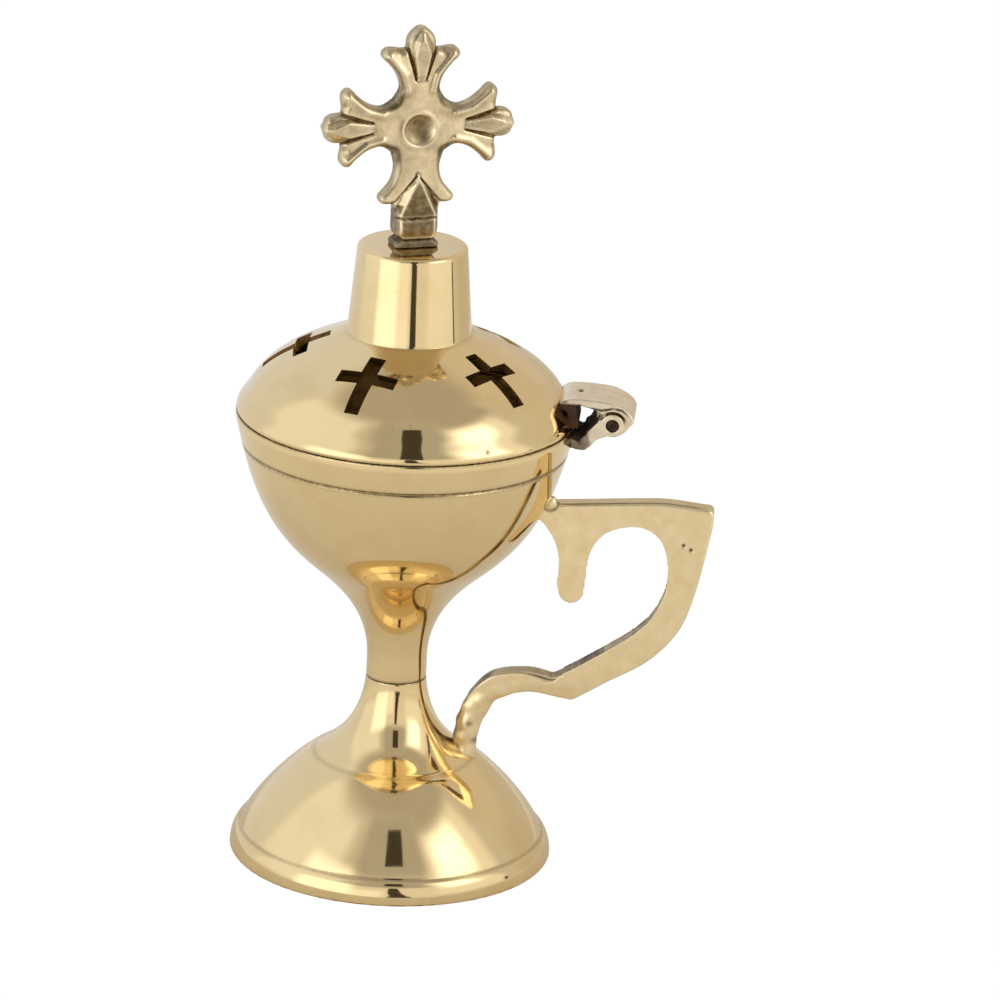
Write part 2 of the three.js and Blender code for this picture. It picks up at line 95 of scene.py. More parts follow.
# The bowl
STEM_RADIUS = 6
STEM_STRAIGHT = 4
WAIST_RADIUS = 17.7
WAIST_HEIGHT = 24
BOWL_WALL = 1.8
FLOOR_HEIGHT = 21.5
FLOOR_RADIUS = 9
RIM_BAND = 1.2
LINE_DROP = 6.3
LINE_WIDTH = 0.8
LINE_DEPTH = 0.3
BOLT_REACH = 10
WALL_SHAPE = ((0.598, 0.264), (0.79, 0.514))
STEM_FLARE_SHAPE = ((0, 0.435), (0.44, 0.726))
FLOOR_SHAPE = ((0.5, 0), (0.8, 0.5))

# The loose charcoal cup
CUP_RIM_DROP = 12
CUP_WALL = 0.9
CUP_LIP = 0.8
CUP_SIDES = 160

# The lid
LID_SET_BACK = 0.1
LID_RADIUS = BOWL_RADIUS - LID_SET_BACK
LID_WALL = 1.6
LIP_HEIGHT = 4.5
LIP_LEAN = 2.4
COLLAR_FOOT_RADIUS = 12.3
COLLAR_FOOT_HEIGHT = 16.6
COLLAR_TOP_RADIUS = 10.9
COLLAR_EDGE = 0.9
COLLAR_WALL = 1.6
COLLAR_TOP_THICKNESS = 2.6
STUD_HOLE = 2.3
LIP_LAP = 0.18
LIP_PIT = (17.9, -27.7, 94.2)
PIT_RADIUS = 0.5
LIP_SHAPE = ((0, 0.3), (0.6, 0.6))
DOME_SHAPE = ((0.195, 0.516), (0.583, 0.714))
CROSS_COUNT = 5
CROSS_COLLAR_MARGIN = 3.2
CROSS_LIP_MARGIN = 2.5
CROSS_HEAD = 6.15
CROSS_SPAN = 12.3
CROSS_BAR = 3.2
CROSS_WOBBLE = 0.14
SAW_REACH = 6

# The hinge
HINGE_WIDTH = 11.5
PIN_BORE = 1.3
KNUCKLE_RADIUS = 2.35
KNUCKLE_GAP = 0.55
TONGUE_WIDTH = 3.7
TONGUE_RADIUS = 3.4
SIDE_GAP = 0.3
TAB_RISE = 5.1
TAB_OVERHANG = 4.25
TAB_PIT = (-6.7, 0.4, TAB_RISE)
STOP_DIRECTION = -123
STOP_SLACK = 4
LEAF_EDGE = 0.3
LEAF_GRAIN = 0.12
LEAF_PASSES = 2
LOWER_LEAF_INSIDE = 0.8
UPPER_LEAF_INSIDE = 1.6

# The handle
HANDLE_THICKNESS = 4.2
HANDLE_TOP_DROP = 15.3
LEG_DROP = 9
HANDLE_CORNER = 1.3
THUMB_TIP = 2.4
HANDLE_EDGE = 0.4
HANDLE_GRAIN = 0.19
BEAD = (29.3, -1.35, 75.7)
BEAD_SIZE = (1.45, 1.0, 1.4)
UPPER_ROOT = (25.6, 0.0, 74.6)
UPPER_ROOT_SIZE = (2.4, 2.5, 2.2)
LOWER_ROOT = (14.2, 0.0, 27.2)
LOWER_ROOT_SIZE = (2.0, 2.2, 3.6)
ROOT_SINK = 0.4

# The cast cross
FINIAL_TURN = 21
FINIAL_CENTRE = 24.6
CROSSING_DROP = 0.25
CROSS_PLATE = 3.2
CROSS_EDGE = 0.25
CROSS_GRAIN = 0.16
EDGE_HALF = 0.75
FACE_HALF = 1.8
TOP_ARM = 19.95
SIDE_ARM = 19.3
TRUNK_END = 22.4
CUT_END = 15.3
RIB_LINE = ((2.6, 7.4), (3.3, 10.4), (6.4, 14.3))
RIB_WIDTH = 0.75
LOBE_HOLLOW = (4.4, 15.4)
DIMPLE_RADIUS = 3.2
DIMPLE_DEPTH = 1.25
DIMPLE_DROP = 0.7
GABLE_FALL = 1.25
CRACK_DROP = 18.3
BEAD_DROP = 23.7
BEAD_HALF = 1.1
GABLE_HALF = 2.95
CROSS_FOOT = 24.5


# Lines and curves

def bend(a, b, shape, steps):
    """Points of a cubic curve from a to b, without a. Its two handles are shares of the step from a to b."""
    a, b = np.array(a, float), np.array(b, float)
    p, q = a + np.array(shape[0]) * (b - a), a + np.array(shape[1]) * (b - a)
    t = (np.arange(1, steps + 1) / steps)[:, None]
    return list((1 - t) ** 3 * a + 3 * (1 - t) ** 2 * t * p + 3 * (1 - t) * t ** 2 * q + t ** 3 * b)


def through(points, steps):
    """Points of a smooth curve through the given points, both ends included."""
    points = np.array(points, float)
    last = len(points) - 1
    found = []
    for step in range(steps + 1):
        place = last * step / steps
        i = min(int(place), last - 1)
        w = place - i
        a, b, c, d = (points[min(max(i + k, 0), last)] for k in (-1, 0, 1, 2))
        p, q = (c - a) / 2, (d - b) / 2
        found.append((2 * b - 2 * c + p + q) * w ** 3 + (3 * c - 3 * b - 2 * p - q) * w ** 2 + p * w + b)
    return found


def arc(centre, radius, start, end, steps):
    """Points of an arc about a centre, between two directions in degrees."""
    angles = np.radians(np.linspace(start, end, steps + 1))
    return [np.array(centre) + radius * np.array((math.cos(a), math.sin(a))) for a in angles]


def offset(points, distance, closed=False):
    """An outline moved to its right by a distance, which is outwards for one that runs upwards."""
    points = np.array(points, float)
    if closed:
        along = np.roll(points, -1, 0) - np.roll(points, 1, 0)
    else:
        along = np.gradient(points, axis=0)
    along /= np.linalg.norm(along, axis=1)[:, None]
    return list(points + distance * np.stack((along[:, 1], -along[:, 0]), 1))


def radius_at(points, height):
    """The radius of a rising outline at a height."""
    points = np.array(points)
    return float(np.interp(height, points[:, 1], points[:, 0]))


def rounded(points, radius=0.25, steps=4, sharp=20):
    """An open outline with each corner turned by more than sharp degrees rounded off."""
    points = [np.array(p, float) for p in points]
    out = [points[0]]
    for before, here, after in zip(points, points[1:], points[2:]):
        back, on = before - here, after - here
        lengths = np.linalg.norm(back), np.linalg.norm(on)
        turn = math.degrees(math.acos(np.clip(-(back @ on) / (lengths[0] * lengths[1]), -1, 1)))
        if turn < sharp:
            out.append(here)
            continue
        cut_back = min(radius * math.tan(math.radians(turn / 2)), 0.45 * min(lengths))
        a, b = here + back / lengths[0] * cut_back, here + on / lengths[1] * cut_back
        for step in range(steps + 1):
            t = step / steps
            out.append((1 - t) ** 2 * a + 2 * t * (1 - t) * here + t ** 2 * b)
    out.append(points[-1])
    return out


def evenly(points, step=0.45):
    """An outline whose long stretches have a point every step."""
    out = [points[0]]
    for a, b in zip(points, points[1:]):
        count = max(1, math.ceil(np.linalg.norm(b - a) / step))
        out += [a + (b - a) * k / count for k in range(1, count + 1)]
    return out


def length_to(outline, place):
    """How far along an outline its point nearest to a place lies."""
    outline = np.array(outline)
    lengths = np.concatenate(((0,), np.cumsum(np.linalg.norm(np.diff(outline, axis=0), axis=1))))
    return lengths[np.linalg.norm(outline - np.array(place), axis=1).argmin()]


def distance_to(places, line, closed=False):
    """How far each flat place lies from a line of points."""
    line = np.array(line, float)
    if closed:
        line = np.vstack((line, line[:1]))
    nearest = np.full(len(places), np.inf)
    for start, step in zip(line, np.diff(line, axis=0)):
        t = np.clip((places - start) @ step / (step @ step), 0, 1)
        nearest = np.minimum(nearest, np.linalg.norm(places - start - t[:, None] * step, axis=1))
    return nearest


def ease(value, low, high):
    """A soft step from 0 at low to 1 at high."""
    t = np.clip((value - low) / (high - low), 0, 1)
    return t * t * (3 - 2 * t)


def near(gap, width):
    """1 where a gap is nothing, falling softly to 0 beyond a width."""
    return np.exp(-(gap / width) ** 2)


def ripples(points, spacing, seed):
    """Smooth random swellings about a spacing apart, mostly between -1 and 1, made of crossed waves."""
    rng = np.random.default_rng(seed)
    ways = rng.normal(size=(9, 3))
    ways *= 2 * math.pi / spacing / np.linalg.norm(ways, axis=1)[:, None]
    return np.sin(points @ ways.T + rng.uniform(0, 2 * math.pi, 9)).sum(1) / 3


# Meshes

def object_from(name, mesh, materials=()):
    piece = bpy.data.objects.new(name, mesh)
    bpy.context.scene.collection.objects.link(piece)
    for material in materials:
        piece.data.materials.append(material)
    return piece


def mesh_from(name, points, faces):
    mesh = bpy.data.meshes.new(name)
    mesh.from_pydata([tuple(p) for p in points], [], [tuple(f) for f in faces])
    mesh.update()
    return mesh


def vertices_of(mesh):
    found = np.zeros(len(mesh.vertices) * 3, np.float32)
    mesh.vertices.foreach_get("co", found)
    return found.reshape(-1, 3).astype(float)


def normals_of(mesh):
    found = np.zeros(len(mesh.vertices) * 3, np.float32)
    mesh.vertex_normals.foreach_get("vector", found)
    return found.reshape(-1, 3).astype(float)


def move_vertices(mesh, points):
    mesh.vertices.foreach_set("co", points.astype(np.float32).ravel())
    mesh.update()


def store(mesh, name, values):
    """Keeps one number for each vertex, for a material to read."""
    attribute = mesh.attributes.get(name) or mesh.attributes.new(name, "FLOAT", "POINT")
    attribute.data.foreach_set("value", np.asarray(values, np.float32))


def applied(piece):
    """The piece with its modifiers made part of its mesh."""
    shown = piece.evaluated_get(bpy.context.evaluated_depsgraph_get())
    mesh = bpy.data.meshes.new_from_object(shown)
    piece.modifiers.clear()
    old = piece.data
    piece.data = mesh
    bpy.data.meshes.remove(old)
    return piece


def put_in_place(piece, centre=(0, 0, 0), turn=0):
    """Turns a mesh made in millimetres about the turned axis into metres, in the frame of the whole."""
    c, s = math.cos(math.radians(turn)), math.sin(math.radians(turn))
    x, y, z = vertices_of(piece.data).T
    points = np.stack((c * x - s * y, s * x + c * y, z), 1) + np.array(centre)
    move_vertices(piece.data, points * MM + np.array((AXIS_X, 0, 0)))
    return piece


def smooth(piece):
    piece.data.polygons.foreach_set("use_smooth", [True] * len(piece.data.polygons))
    return piece


def turned_mesh(name, outline, sides):
    """A closed outline of radius and height turned about the axis. Where it meets the axis it is open."""
    outline = np.array(outline)
    closed = outline[0, 0] > 1e-6
    angles = np.arange(sides) * 2 * math.pi / sides
    points, rows = [], []
    for radius, height in outline:
        if radius < 1e-6:
            rows.append([len(points)])
            points.append((0, 0, height))
        else:
            rows.append(range(len(points), len(points) + sides))
            points += [(radius * math.cos(a), radius * math.sin(a), height) for a in angles]
    faces = []
    pairs = list(zip(rows, rows[1:])) + ([(rows[-1], rows[0])] if closed else [])
    for low, high in pairs:
        for k in range(sides):
            n = (k + 1) % sides
            if len(low) == 1:
                faces.append((low[0], high[n], high[k]))
            elif len(high) == 1:
                faces.append((low[k], low[n], high[0]))
            else:
                faces.append((low[k], low[n], high[n], high[k]))
    return mesh_from(name, points, faces)


def outline_corners(outline, closed):
    """The outward direction at each point of an outline, weighted to its nearer neighbour."""
    step = np.diff(outline, axis=0)
    lengths = np.linalg.norm(step, axis=1)[:, None]
    side = np.stack((step[:, 1], -step[:, 0]), 1) / lengths ** 2
    if closed:
        corner = side + np.roll(side, 1, 0)
        corner = np.vstack((corner, corner[:1]))
    else:
        corner = np.vstack((side[:1], side[1:] + side[:-1], side[-1:]))
    return corner / np.linalg.norm(corner, axis=1)[:, None]


def fit_to_outline(mesh, outline, inside, shade_and_tarnish_rings, pits):
    """Gives a turned mesh the true normals of its outline, its distance along it, its rings of tarnish and
    painted shade, and its dark pits. A ring is a height, a half-width and a strength. Faces further along
    the outline than inside get the second material, and flat walls sawn through the mesh the third."""
    outline = np.array(outline)
    closed = outline[0, 0] > 1e-6
    if closed:
        outline = np.vstack((outline, outline[:1]))
    corner = outline_corners(outline, closed)
    a, step = outline[:-1], np.diff(outline, axis=0)
    lengths = np.linalg.norm(step, axis=1)
    start = np.concatenate(((0,), np.cumsum(lengths)))

    points = vertices_of(mesh)
    radius = np.hypot(points[:, 0], points[:, 1])
    flat = np.stack((radius, points[:, 2]), 1)
    along, normal = np.zeros(len(points)), np.zeros((len(points), 2))
    for first in range(0, len(points), 4000):
        part = flat[first:first + 4000]
        rel = part[:, None] - a
        t = np.clip((rel * step).sum(2) / lengths ** 2, 0, 1)
        best = np.linalg.norm(rel - t[..., None] * step, axis=2).argmin(1)
        share = t[np.arange(len(part)), best]
        along[first:first + 4000] = start[best] + share * lengths[best]
        normal[first:first + 4000] = corner[best] * (1 - share)[:, None] + corner[best + 1] * share[:, None]
    store(mesh, "along", along)
    patina_and_shade = np.zeros(len(points))
    # Each ring darkens a crease, a joint or a seam with tarnish and painted shade
    for height, width, strength in shade_and_tarnish_rings:
        patina_and_shade = np.maximum(patina_and_shade, strength * near(points[:, 2] - height, width))
    for place in pits:
        patina_and_shade = np.maximum(patina_and_shade, near(np.linalg.norm(points - place, axis=1), PIT_RADIUS))
    store(mesh, "patina_and_shade", patina_and_shade)

    out = np.where(radius > 1e-6, radius, 1)
    true = np.stack((points[:, 0] / out * normal[:, 0], points[:, 1] / out * normal[:, 0], normal[:, 1]), 1)
    true /= np.linalg.norm(true, axis=1)[:, None]
    loops = []
    for face in mesh.polygons:
        own = np.array(face.normal)
        corners = list(face.vertices)
        fits = true[corners] @ own > 0.8
        loops += [tuple(true[v] if fit else own) for v, fit in zip(corners, fits)]
        if not fits.any():
            face.material_index = 2
        elif along[corners].mean() > inside:
            face.material_index = 1
    mesh.polygons.foreach_set("use_smooth", [True] * len(mesh.polygons))
    mesh.normals_split_custom_set(loops)


def turned_piece(name, outline, metals, inside=None, shade_and_tarnish_rings=(), pits=(), saws=(), sides=SIDES):
    """A piece turned from an outline, in its place. Past the place called inside it has its second metal,
    and the saws leave walls of the third."""
    piece = object_from(name, turned_mesh(name, outline, sides), metals)
    if saws:
        cut(piece, saws)
    fit_to_outline(piece.data, outline, length_to(outline, inside) if inside else np.inf, shade_and_tarnish_rings, pits)
    return put_in_place(piece)


def stacked(layers):
    """The closed skin through equal loops of points, one above the other, as points and faces."""
    count = len(layers[0])
    last = (len(layers) - 1) * count
    faces = []
    for first in range(0, last, count):
        for k in range(count):
            n = (k + 1) % count
            faces.append((first + k, first + n, first + count + n, first + count + k))
    faces += [tuple(range(count))[::-1], tuple(range(last, last + count))]
    return [point for layer in layers for point in layer], faces


def slab(outline, thickness, edge, rings=4):
    """A closed outline in the XZ plane with a thickness along Y and rounded edges, as points and faces."""
    outline = np.array(outline)
    if np.sum(np.cross(outline, np.roll(outline, -1, 0))) < 0:
        outline = outline[::-1]
    depths = []
    for side in (-1, 1):
        for k in range(rings + 1):
            a = math.radians(90 * k / rings)
            depths.append((edge * (1 - math.sin(a)), side * (thickness / 2 - edge * (1 - math.cos(a)))))
    depths = depths[:rings + 1] + depths[:rings:-1]
    return stacked([[(x, y, z) for x, z in offset(outline, -inset, closed=True)] for inset, y in depths])


def pin_bar(radius, length, sides=64):
    """A plain round bar about the hinge pin, as points and faces."""
    loop = arc((PIN_X, PIN_Z), radius, 0, 360, sides)[:-1]
    return stacked([[(x, y, z) for x, z in loop] for y in (-length / 2, length / 2)])


def lump(centre, size, seed, sides=14):
    """A pebble of filler metal with an uneven surface, as points and faces."""
    lats = np.linspace(0, math.pi, sides + 1)[1:-1]
    lons = np.linspace(0, 2 * math.pi, 2 * sides, endpoint=False)
    ways = np.array([(math.sin(a) * math.cos(b), math.sin(a) * math.sin(b), math.cos(a))
                     for a in lats for b in lons])
    points = np.array(centre) + ways * np.array(size) * (1 + 0.08 * ripples(ways, 2, seed))[:, None]
    return stacked(points.reshape(len(lats), len(lons), 3))


def joined(name, parts):
    """One mesh of several closed parts, each given as points and faces, with every face turned outwards."""
    points, faces = [], []
    for more_points, more_faces in parts:
        start = len(points)
        points += list(more_points)
        faces += [tuple(start + v for v in face) for face in more_faces]
    mesh = mesh_from(name, points, faces)
    work = bmesh.new()
    work.from_mesh(mesh)
    bmesh.ops.recalc_face_normals(work, faces=work.faces)
    work.to_mesh(mesh)
    work.free()
    return mesh


def solid(name, parts, *materials):
    """A new piece made of closed parts, each given as points and faces."""
    return object_from(name, joined(name, parts), materials)


def cut(piece, tools):
    """Cuts closed tools, each given as points and faces, out of a piece."""
    blades = [solid("blade", [tool]) for tool in tools]
    for blade in blades:
        modifier = piece.modifiers.new("cut", "BOOLEAN")
        modifier.operation = "DIFFERENCE"
        modifier.solver = "EXACT"
        modifier.object = blade
    applied(piece)
    for blade in blades:
        bpy.data.objects.remove(blade)
    return piece


def cast(piece, grain, passes):
    """Fuses a piece's parts into one skin with softened edges, as a casting has."""
    skin = piece.modifiers.new("skin", "REMESH")
    skin.mode = "VOXEL"
    skin.voxel_size = grain
    soften = piece.modifiers.new("soften", "SMOOTH")
    soften.iterations = passes
    return smooth(applied(piece))


def hollows(mesh, reach, scale):
    """How hollow the skin is at each vertex, from -1 on a sharp ridge to 1 in a deep recess."""
    edges = np.zeros(len(mesh.edges) * 2, np.int64)
    mesh.edges.foreach_get("vertices", edges)
    a, b = edges.reshape(-1, 2).T
    count = np.bincount(a, minlength=len(mesh.vertices)) + np.bincount(b, minlength=len(mesh.vertices))
    points = vertices_of(mesh)
    blurred = points
    for _ in range(reach):
        total = np.zeros_like(points)
        np.add.at(total, a, blurred[b])
        np.add.at(total, b, blurred[a])
        blurred = total / np.maximum(count, 1)[:, None]
    return np.clip(((blurred - points) * normals_of(mesh)).sum(1) / scale, -1, 1)


def mark_wear(mesh, reach, scale, extra=0):
    """Stores the patina that polishing leaves in recesses, with any extra patina and painted shade, and the
    rubbed ridges.
    """
    hollow = hollows(mesh, reach, scale)
    store(mesh, "patina_and_shade", np.clip(np.maximum(hollow, 0) + extra, 0, 1))
    store(mesh, "wear", np.clip(-hollow, 0, 1))


def keep(piece, body, slot, *nodes):
    """Ties a finished piece to its body and to the solids that it stands for; its material slot is not used.
    """
    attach(piece, body)
    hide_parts(*nodes)


# Materials

def linear(colour):
    """An sRGB hex colour as the linear colour that a shader takes."""
    parts = [int(colour[k:k + 2], 16) / 255 for k in (1, 3, 5)]
    return (*(c / 12.92 if c <= 0.04045 else ((c + 0.055) / 1.055) ** 2.4 for c in parts), 1)


def add(owner, kind, *feeds, stops=(), **settings):
    """Adds a node to a material or a world. Settings that the node has are set on it, the others feed the
    inputs of their names, and feeds without a name go to its inputs in order. A feed is a number, a hex
    colour, another node or one of its outputs. Stops are the places and colours of a ramp."""
    tree = owner.node_tree
    node = tree.nodes.new("ShaderNode" + kind)
    named = {}
    for name, value in settings.items():
        if hasattr(node, name):
            setattr(node, name, value)
        else:
            named[name.replace("_", " ")] = value
    for k, (place, colour) in enumerate(stops):
        element = node.color_ramp.elements[k] if k < 2 else node.color_ramp.elements.new(place)
        element.position = place
        element.color = linear(colour) if isinstance(colour, str) else (colour, colour, colour, 1)
    slots = [slot for slot in node.inputs if slot.enabled]
    fed = list(zip(slots, feeds))
    fed += [(next(slot for slot in slots if slot.name == name), value) for name, value in named.items()]
    for slot, value in fed:
        if isinstance(value, bpy.types.Node):
            value = next(output for output in value.outputs if output.enabled)
        if isinstance(value, bpy.types.NodeSocket):
            tree.links.new(slot, value)
        else:
            slot.default_value = linear(value) if isinstance(value, str) else value
    return node


def new_material(name):
    material = bpy.data.materials.new(name)
    material.use_nodes = True
    material.node_tree.nodes.clear()
    return material


def lathe_lines(material, here, spacing):
    """Fine lines round the axis: noise that changes along the outline and hardly round it."""
    place = add(material, "SeparateXYZ", here)
    along = add(material, "Attribute", attribute_name="along").outputs["Fac"]
    parts = [
        add(material, "Math", place.outputs["X"], 0.02, operation="MULTIPLY"),
        add(material, "Math", place.outputs["Y"], 0.02, operation="MULTIPLY"),
        add(material, "Math", along, MM, operation="MULTIPLY"),
    ]
    vector = add(material, "CombineXYZ", *parts)
    return add(material, "TexNoise", vector, Scale=1 / (spacing * MM), Detail=2)


def polished_brass():
    """Yellow brass, turned and buffed to a mirror: pale gold, with faint cloudy handling marks, hair lines
    left by the lathe, and brown tarnish with painted shade in the creases, joints, seams and groove."""
    material = new_material("polished_brass")
    here = add(material, "TexCoord").outputs["Object"]
    clouds = add(material, "TexNoise", here, Scale=1 / (9 * MM), Detail=4, Roughness=0.6)
    share = add(material, "ValToRGB", clouds, stops=((0.45, 0.0), (0.8, 0.3)))
    body = add(material, "Mix", share, "#f3d9a5", "#dcb87c", data_type="RGBA")
    # Fingers leave specks of tarnish about half a millimetre across
    spots = add(material, "TexNoise", here, Scale=1 / (0.9 * MM), Detail=1)
    spots = add(material, "ValToRGB", spots, stops=((0.77, 0.0), (0.81, 0.3)))
    body = add(material, "Mix", spots, body, "#7a5a24", data_type="RGBA")
    # Tarnish and painted shade darken the creases, the joints, the seams and the engraved groove
    patina_and_shade = add(material, "Attribute", attribute_name="patina_and_shade").outputs["Fac"]
    breaks = add(material, "TexNoise", here, Scale=1 / (0.8 * MM))
    breaks = add(material, "ValToRGB", breaks, stops=((0.3, 0.6), (0.6, 1.0)))
    patina_and_shade = add(material, "Math", patina_and_shade, breaks, operation="MULTIPLY")
    body = add(material, "Mix", patina_and_shade, body, "#46300c", data_type="RGBA")
    shine = add(material, "ValToRGB", clouds, stops=((0.35, 0.055), (0.8, 0.085)))
    shine = add(material, "Math", patina_and_shade, 0.3, shine, operation="MULTIPLY_ADD")
    swell = add(material, "TexNoise", here, Scale=1 / (7 * MM), Detail=1)
    bumps = add(material, "Bump", Height=swell, Strength=0.25, Distance=0.05 * MM)
    # Real lathe hair lines are about 0.05 mm apart; they are drawn at 0.45 mm so that they show
    lines = lathe_lines(material, here, 0.45)
    bumps = add(material, "Bump", Height=lines, Normal=bumps, Strength=0.16, Distance=0.01 * MM)
    shader = add(material, "BsdfPrincipled", Base_Color=body, Metallic=1.0, Roughness=shine, Normal=bumps)
    add(material, "OutputMaterial", shader)
    return material


def raw_brass():
    """Brass as the lathe and the saw leave it, in the hollow foot and on the walls of the crosses: yellow,
    dull and scored by fine tool marks."""
    material = new_material("raw_turned_brass")
    here = add(material, "TexCoord").outputs["Object"]
    clouds = add(material, "TexNoise", here, Scale=1 / (4 * MM), Detail=4, Roughness=0.6)
    body = add(material, "ValToRGB", clouds, stops=((0.3, "#b08a4c"), (0.65, "#dcb97a")))
    # Tarnish and painted shade from the rings darken the joints here too
    patina_and_shade = add(material, "Attribute", attribute_name="patina_and_shade").outputs["Fac"]
    body = add(material, "Mix", patina_and_shade, body, "#46300c", data_type="RGBA")
    shine = add(material, "ValToRGB", clouds, stops=((0.3, 0.42), (0.7, 0.28)))
    # Tool marks are about 0.2 mm apart; they are drawn at 0.5 mm so that they show
    lines = lathe_lines(material, here, 0.5)
    bumps = add(material, "Bump", Height=lines, Strength=0.5, Distance=0.04 * MM)
    shader = add(material, "BsdfPrincipled", Base_Color=body, Metallic=1.0, Roughness=shine, Normal=bumps)
    add(material, "OutputMaterial", shader)
    return material


def smoked_brass():
    """The inside of the bowl and the lid: unpolished brass under a warm brown film of resin smoke."""
    material = new_material("smoked_brass")
    here = add(material, "TexCoord").outputs["Object"]
    soot = add(material, "TexNoise", here, Scale=1 / (6 * MM), Detail=5, Roughness=0.65)
    body = add(material, "ValToRGB", soot, stops=((0.3, "#a67c40"), (0.5, "#dab068"), (0.75, "#f0cc88")))
    shine = add(material, "ValToRGB", soot, stops=((0.3, 0.55), (0.75, 0.36)))
    film = add(material, "TexNoise", here, Scale=1 / (0.7 * MM), Detail=4)
    bumps = add(material, "Bump", Height=film, Strength=0.35, Distance=0.06 * MM)
    shader = add(material, "BsdfPrincipled", Base_Color=body, Metallic=1.0, Roughness=shine, Normal=bumps)
    add(material, "OutputMaterial", shader)
    return material


def cast_brass(name, clean, patina, shine_range, patina_share):
    """Sand-cast brass, filed and buffed by hand: a paler, greyer gold than the turned parts, with a soft
    pebbled skin, brown-grey patina and painted shade in the hollows, bright rubbed edges, and a dark burnt
    crust on solder that also carries painted shade."""
    material = new_material(name)
    here = add(material, "TexCoord").outputs["Object"]
    clouds = add(material, "TexNoise", here, Scale=1 / (3 * MM), Detail=4, Roughness=0.6)
    share = add(material, "ValToRGB", clouds, stops=((0.35, 0.0), (0.75, patina_share)))
    body = add(material, "Mix", share, clean, patina, data_type="RGBA")
    # Patina and painted shade darken the hollows, the bevels and some faces by their direction
    patina_and_shade = add(material, "Attribute", attribute_name="patina_and_shade").outputs["Fac"]
    breaks = add(material, "TexNoise", here, Scale=1 / (1.2 * MM))
    breaks = add(material, "ValToRGB", breaks, stops=((0.25, 0.7), (0.6, 1.0)))
    patina_and_shade = add(material, "Math", patina_and_shade, breaks, operation="MULTIPLY")
    body = add(material, "Mix", patina_and_shade, body, "#584320", data_type="RGBA")
    wear = add(material, "Attribute", attribute_name="wear").outputs["Fac"]
    wear = add(material, "Math", wear, 0.7, operation="MULTIPLY")
    body = add(material, "Mix", wear, body, "#fbeecb", data_type="RGBA")
    # The burnt crust also carries painted shade: under the hinge's tab, in gaps at the roots and on faces by
    # direction
    burnt = add(material, "Attribute", attribute_name="burnt").outputs["Fac"]
    crust = add(material, "ValToRGB", clouds, stops=((0.3, "#2e1b0e"), (0.7, "#4f3520")))
    body = add(material, "Mix", burnt, body, crust, data_type="RGBA")
    shine = add(material, "ValToRGB", clouds, stops=((0.3, shine_range[0]), (0.8, shine_range[1])))
    shine = add(material, "Math", patina_and_shade, 0.15, shine, operation="MULTIPLY_ADD")
    shine = add(material, "Math", burnt, 0.6, shine, operation="MULTIPLY_ADD")
    # Soot, burnt flux and the painted shade carried with them cover the metal with a dry crust
    bare = add(material, "Math", 1.0, burnt, operation="SUBTRACT")
    swell = add(material, "TexNoise", here, Scale=1 / (2.6 * MM), Detail=2)
    bumps = add(material, "Bump", Height=swell, Strength=0.3, Distance=0.2 * MM)
    # The sand's grain is about 0.3 mm
    skin = add(material, "TexNoise", here, Scale=1 / (0.6 * MM), Detail=4)
    bumps = add(material, "Bump", Height=skin, Normal=bumps, Strength=0.2, Distance=0.05 * MM)
    shader = add(material, "BsdfPrincipled", Base_Color=body, Metallic=bare, Roughness=shine, Normal=bumps)
    add(material, "OutputMaterial", shader)
    return material


def plated_steel():
    """Zinc-plated steel of the bolt, the washers and the screw: a cool grey with a dull, cloudy bloom."""
    material = new_material("zinc_plated_steel")
    here = add(material, "TexCoord").outputs["Object"]
    bloom = add(material, "TexNoise", here, Scale=1 / (1.6 * MM), Detail=4)
    body = add(material, "ValToRGB", bloom, stops=((0.3, "#8f9190"), (0.7, "#b9bab6")))
    shine = add(material, "ValToRGB", bloom, stops=((0.3, 0.34), (0.7, 0.5)))
    grain = add(material, "TexNoise", here, Scale=1 / (0.5 * MM), Detail=3)
    bumps = add(material, "Bump", Height=grain, Strength=0.2, Distance=0.03 * MM)
    shader = add(material, "BsdfPrincipled", Base_Color=body, Metallic=1.0, Roughness=shine, Normal=bumps)
    add(material, "OutputMaterial", shader)
    return material


def dark_pin_steel():
    """The hinge pin: drawn steel wire gone dark brown with grease and smoke."""
    material = new_material("dark_pin_steel")
    here = add(material, "TexCoord").outputs["Object"]
    grease = add(material, "TexNoise", here, Scale=1 / (0.8 * MM), Detail=3)
    body = add(material, "ValToRGB", grease, stops=((0.3, "#2a2019"), (0.7, "#54453a")))
    grain = add(material, "TexNoise", here, Scale=1 / (0.4 * MM), Detail=3)
    bumps = add(material, "Bump", Height=grain, Strength=0.4, Distance=0.05 * MM)
    shader = add(material, "BsdfPrincipled", Base_Color=body, Metallic=1.0, Roughness=0.45, Normal=bumps)
    add(material, "OutputMaterial", shader)
    return material


def tinned_iron():
    """Thin spun iron, tinned and then heated by charcoal: blue-grey, with brown heat stain and soot."""
    material = new_material("tinned_iron")
    here = add(material, "TexCoord").outputs["Object"]
    heat = add(material, "TexNoise", here, Scale=1 / (7 * MM), Detail=4, Roughness=0.6)
    body = add(material, "ValToRGB", heat, stops=((0.25, "#3a3531"), (0.5, "#6b645c"), (0.75, "#8c8479")))
    shine = add(material, "ValToRGB", heat, stops=((0.25, 0.65), (0.75, 0.42)))
    # Spinning marks are about 0.3 mm apart; they are drawn at 0.5 mm so that they show
    lines = lathe_lines(material, here, 0.5)
    bumps = add(material, "Bump", Height=lines, Strength=0.3, Distance=0.04 * MM)
    shader = add(material, "BsdfPrincipled", Base_Color=body, Metallic=1.0, Roughness=shine, Normal=bumps)
    add(material, "OutputMaterial", shader)
    return material


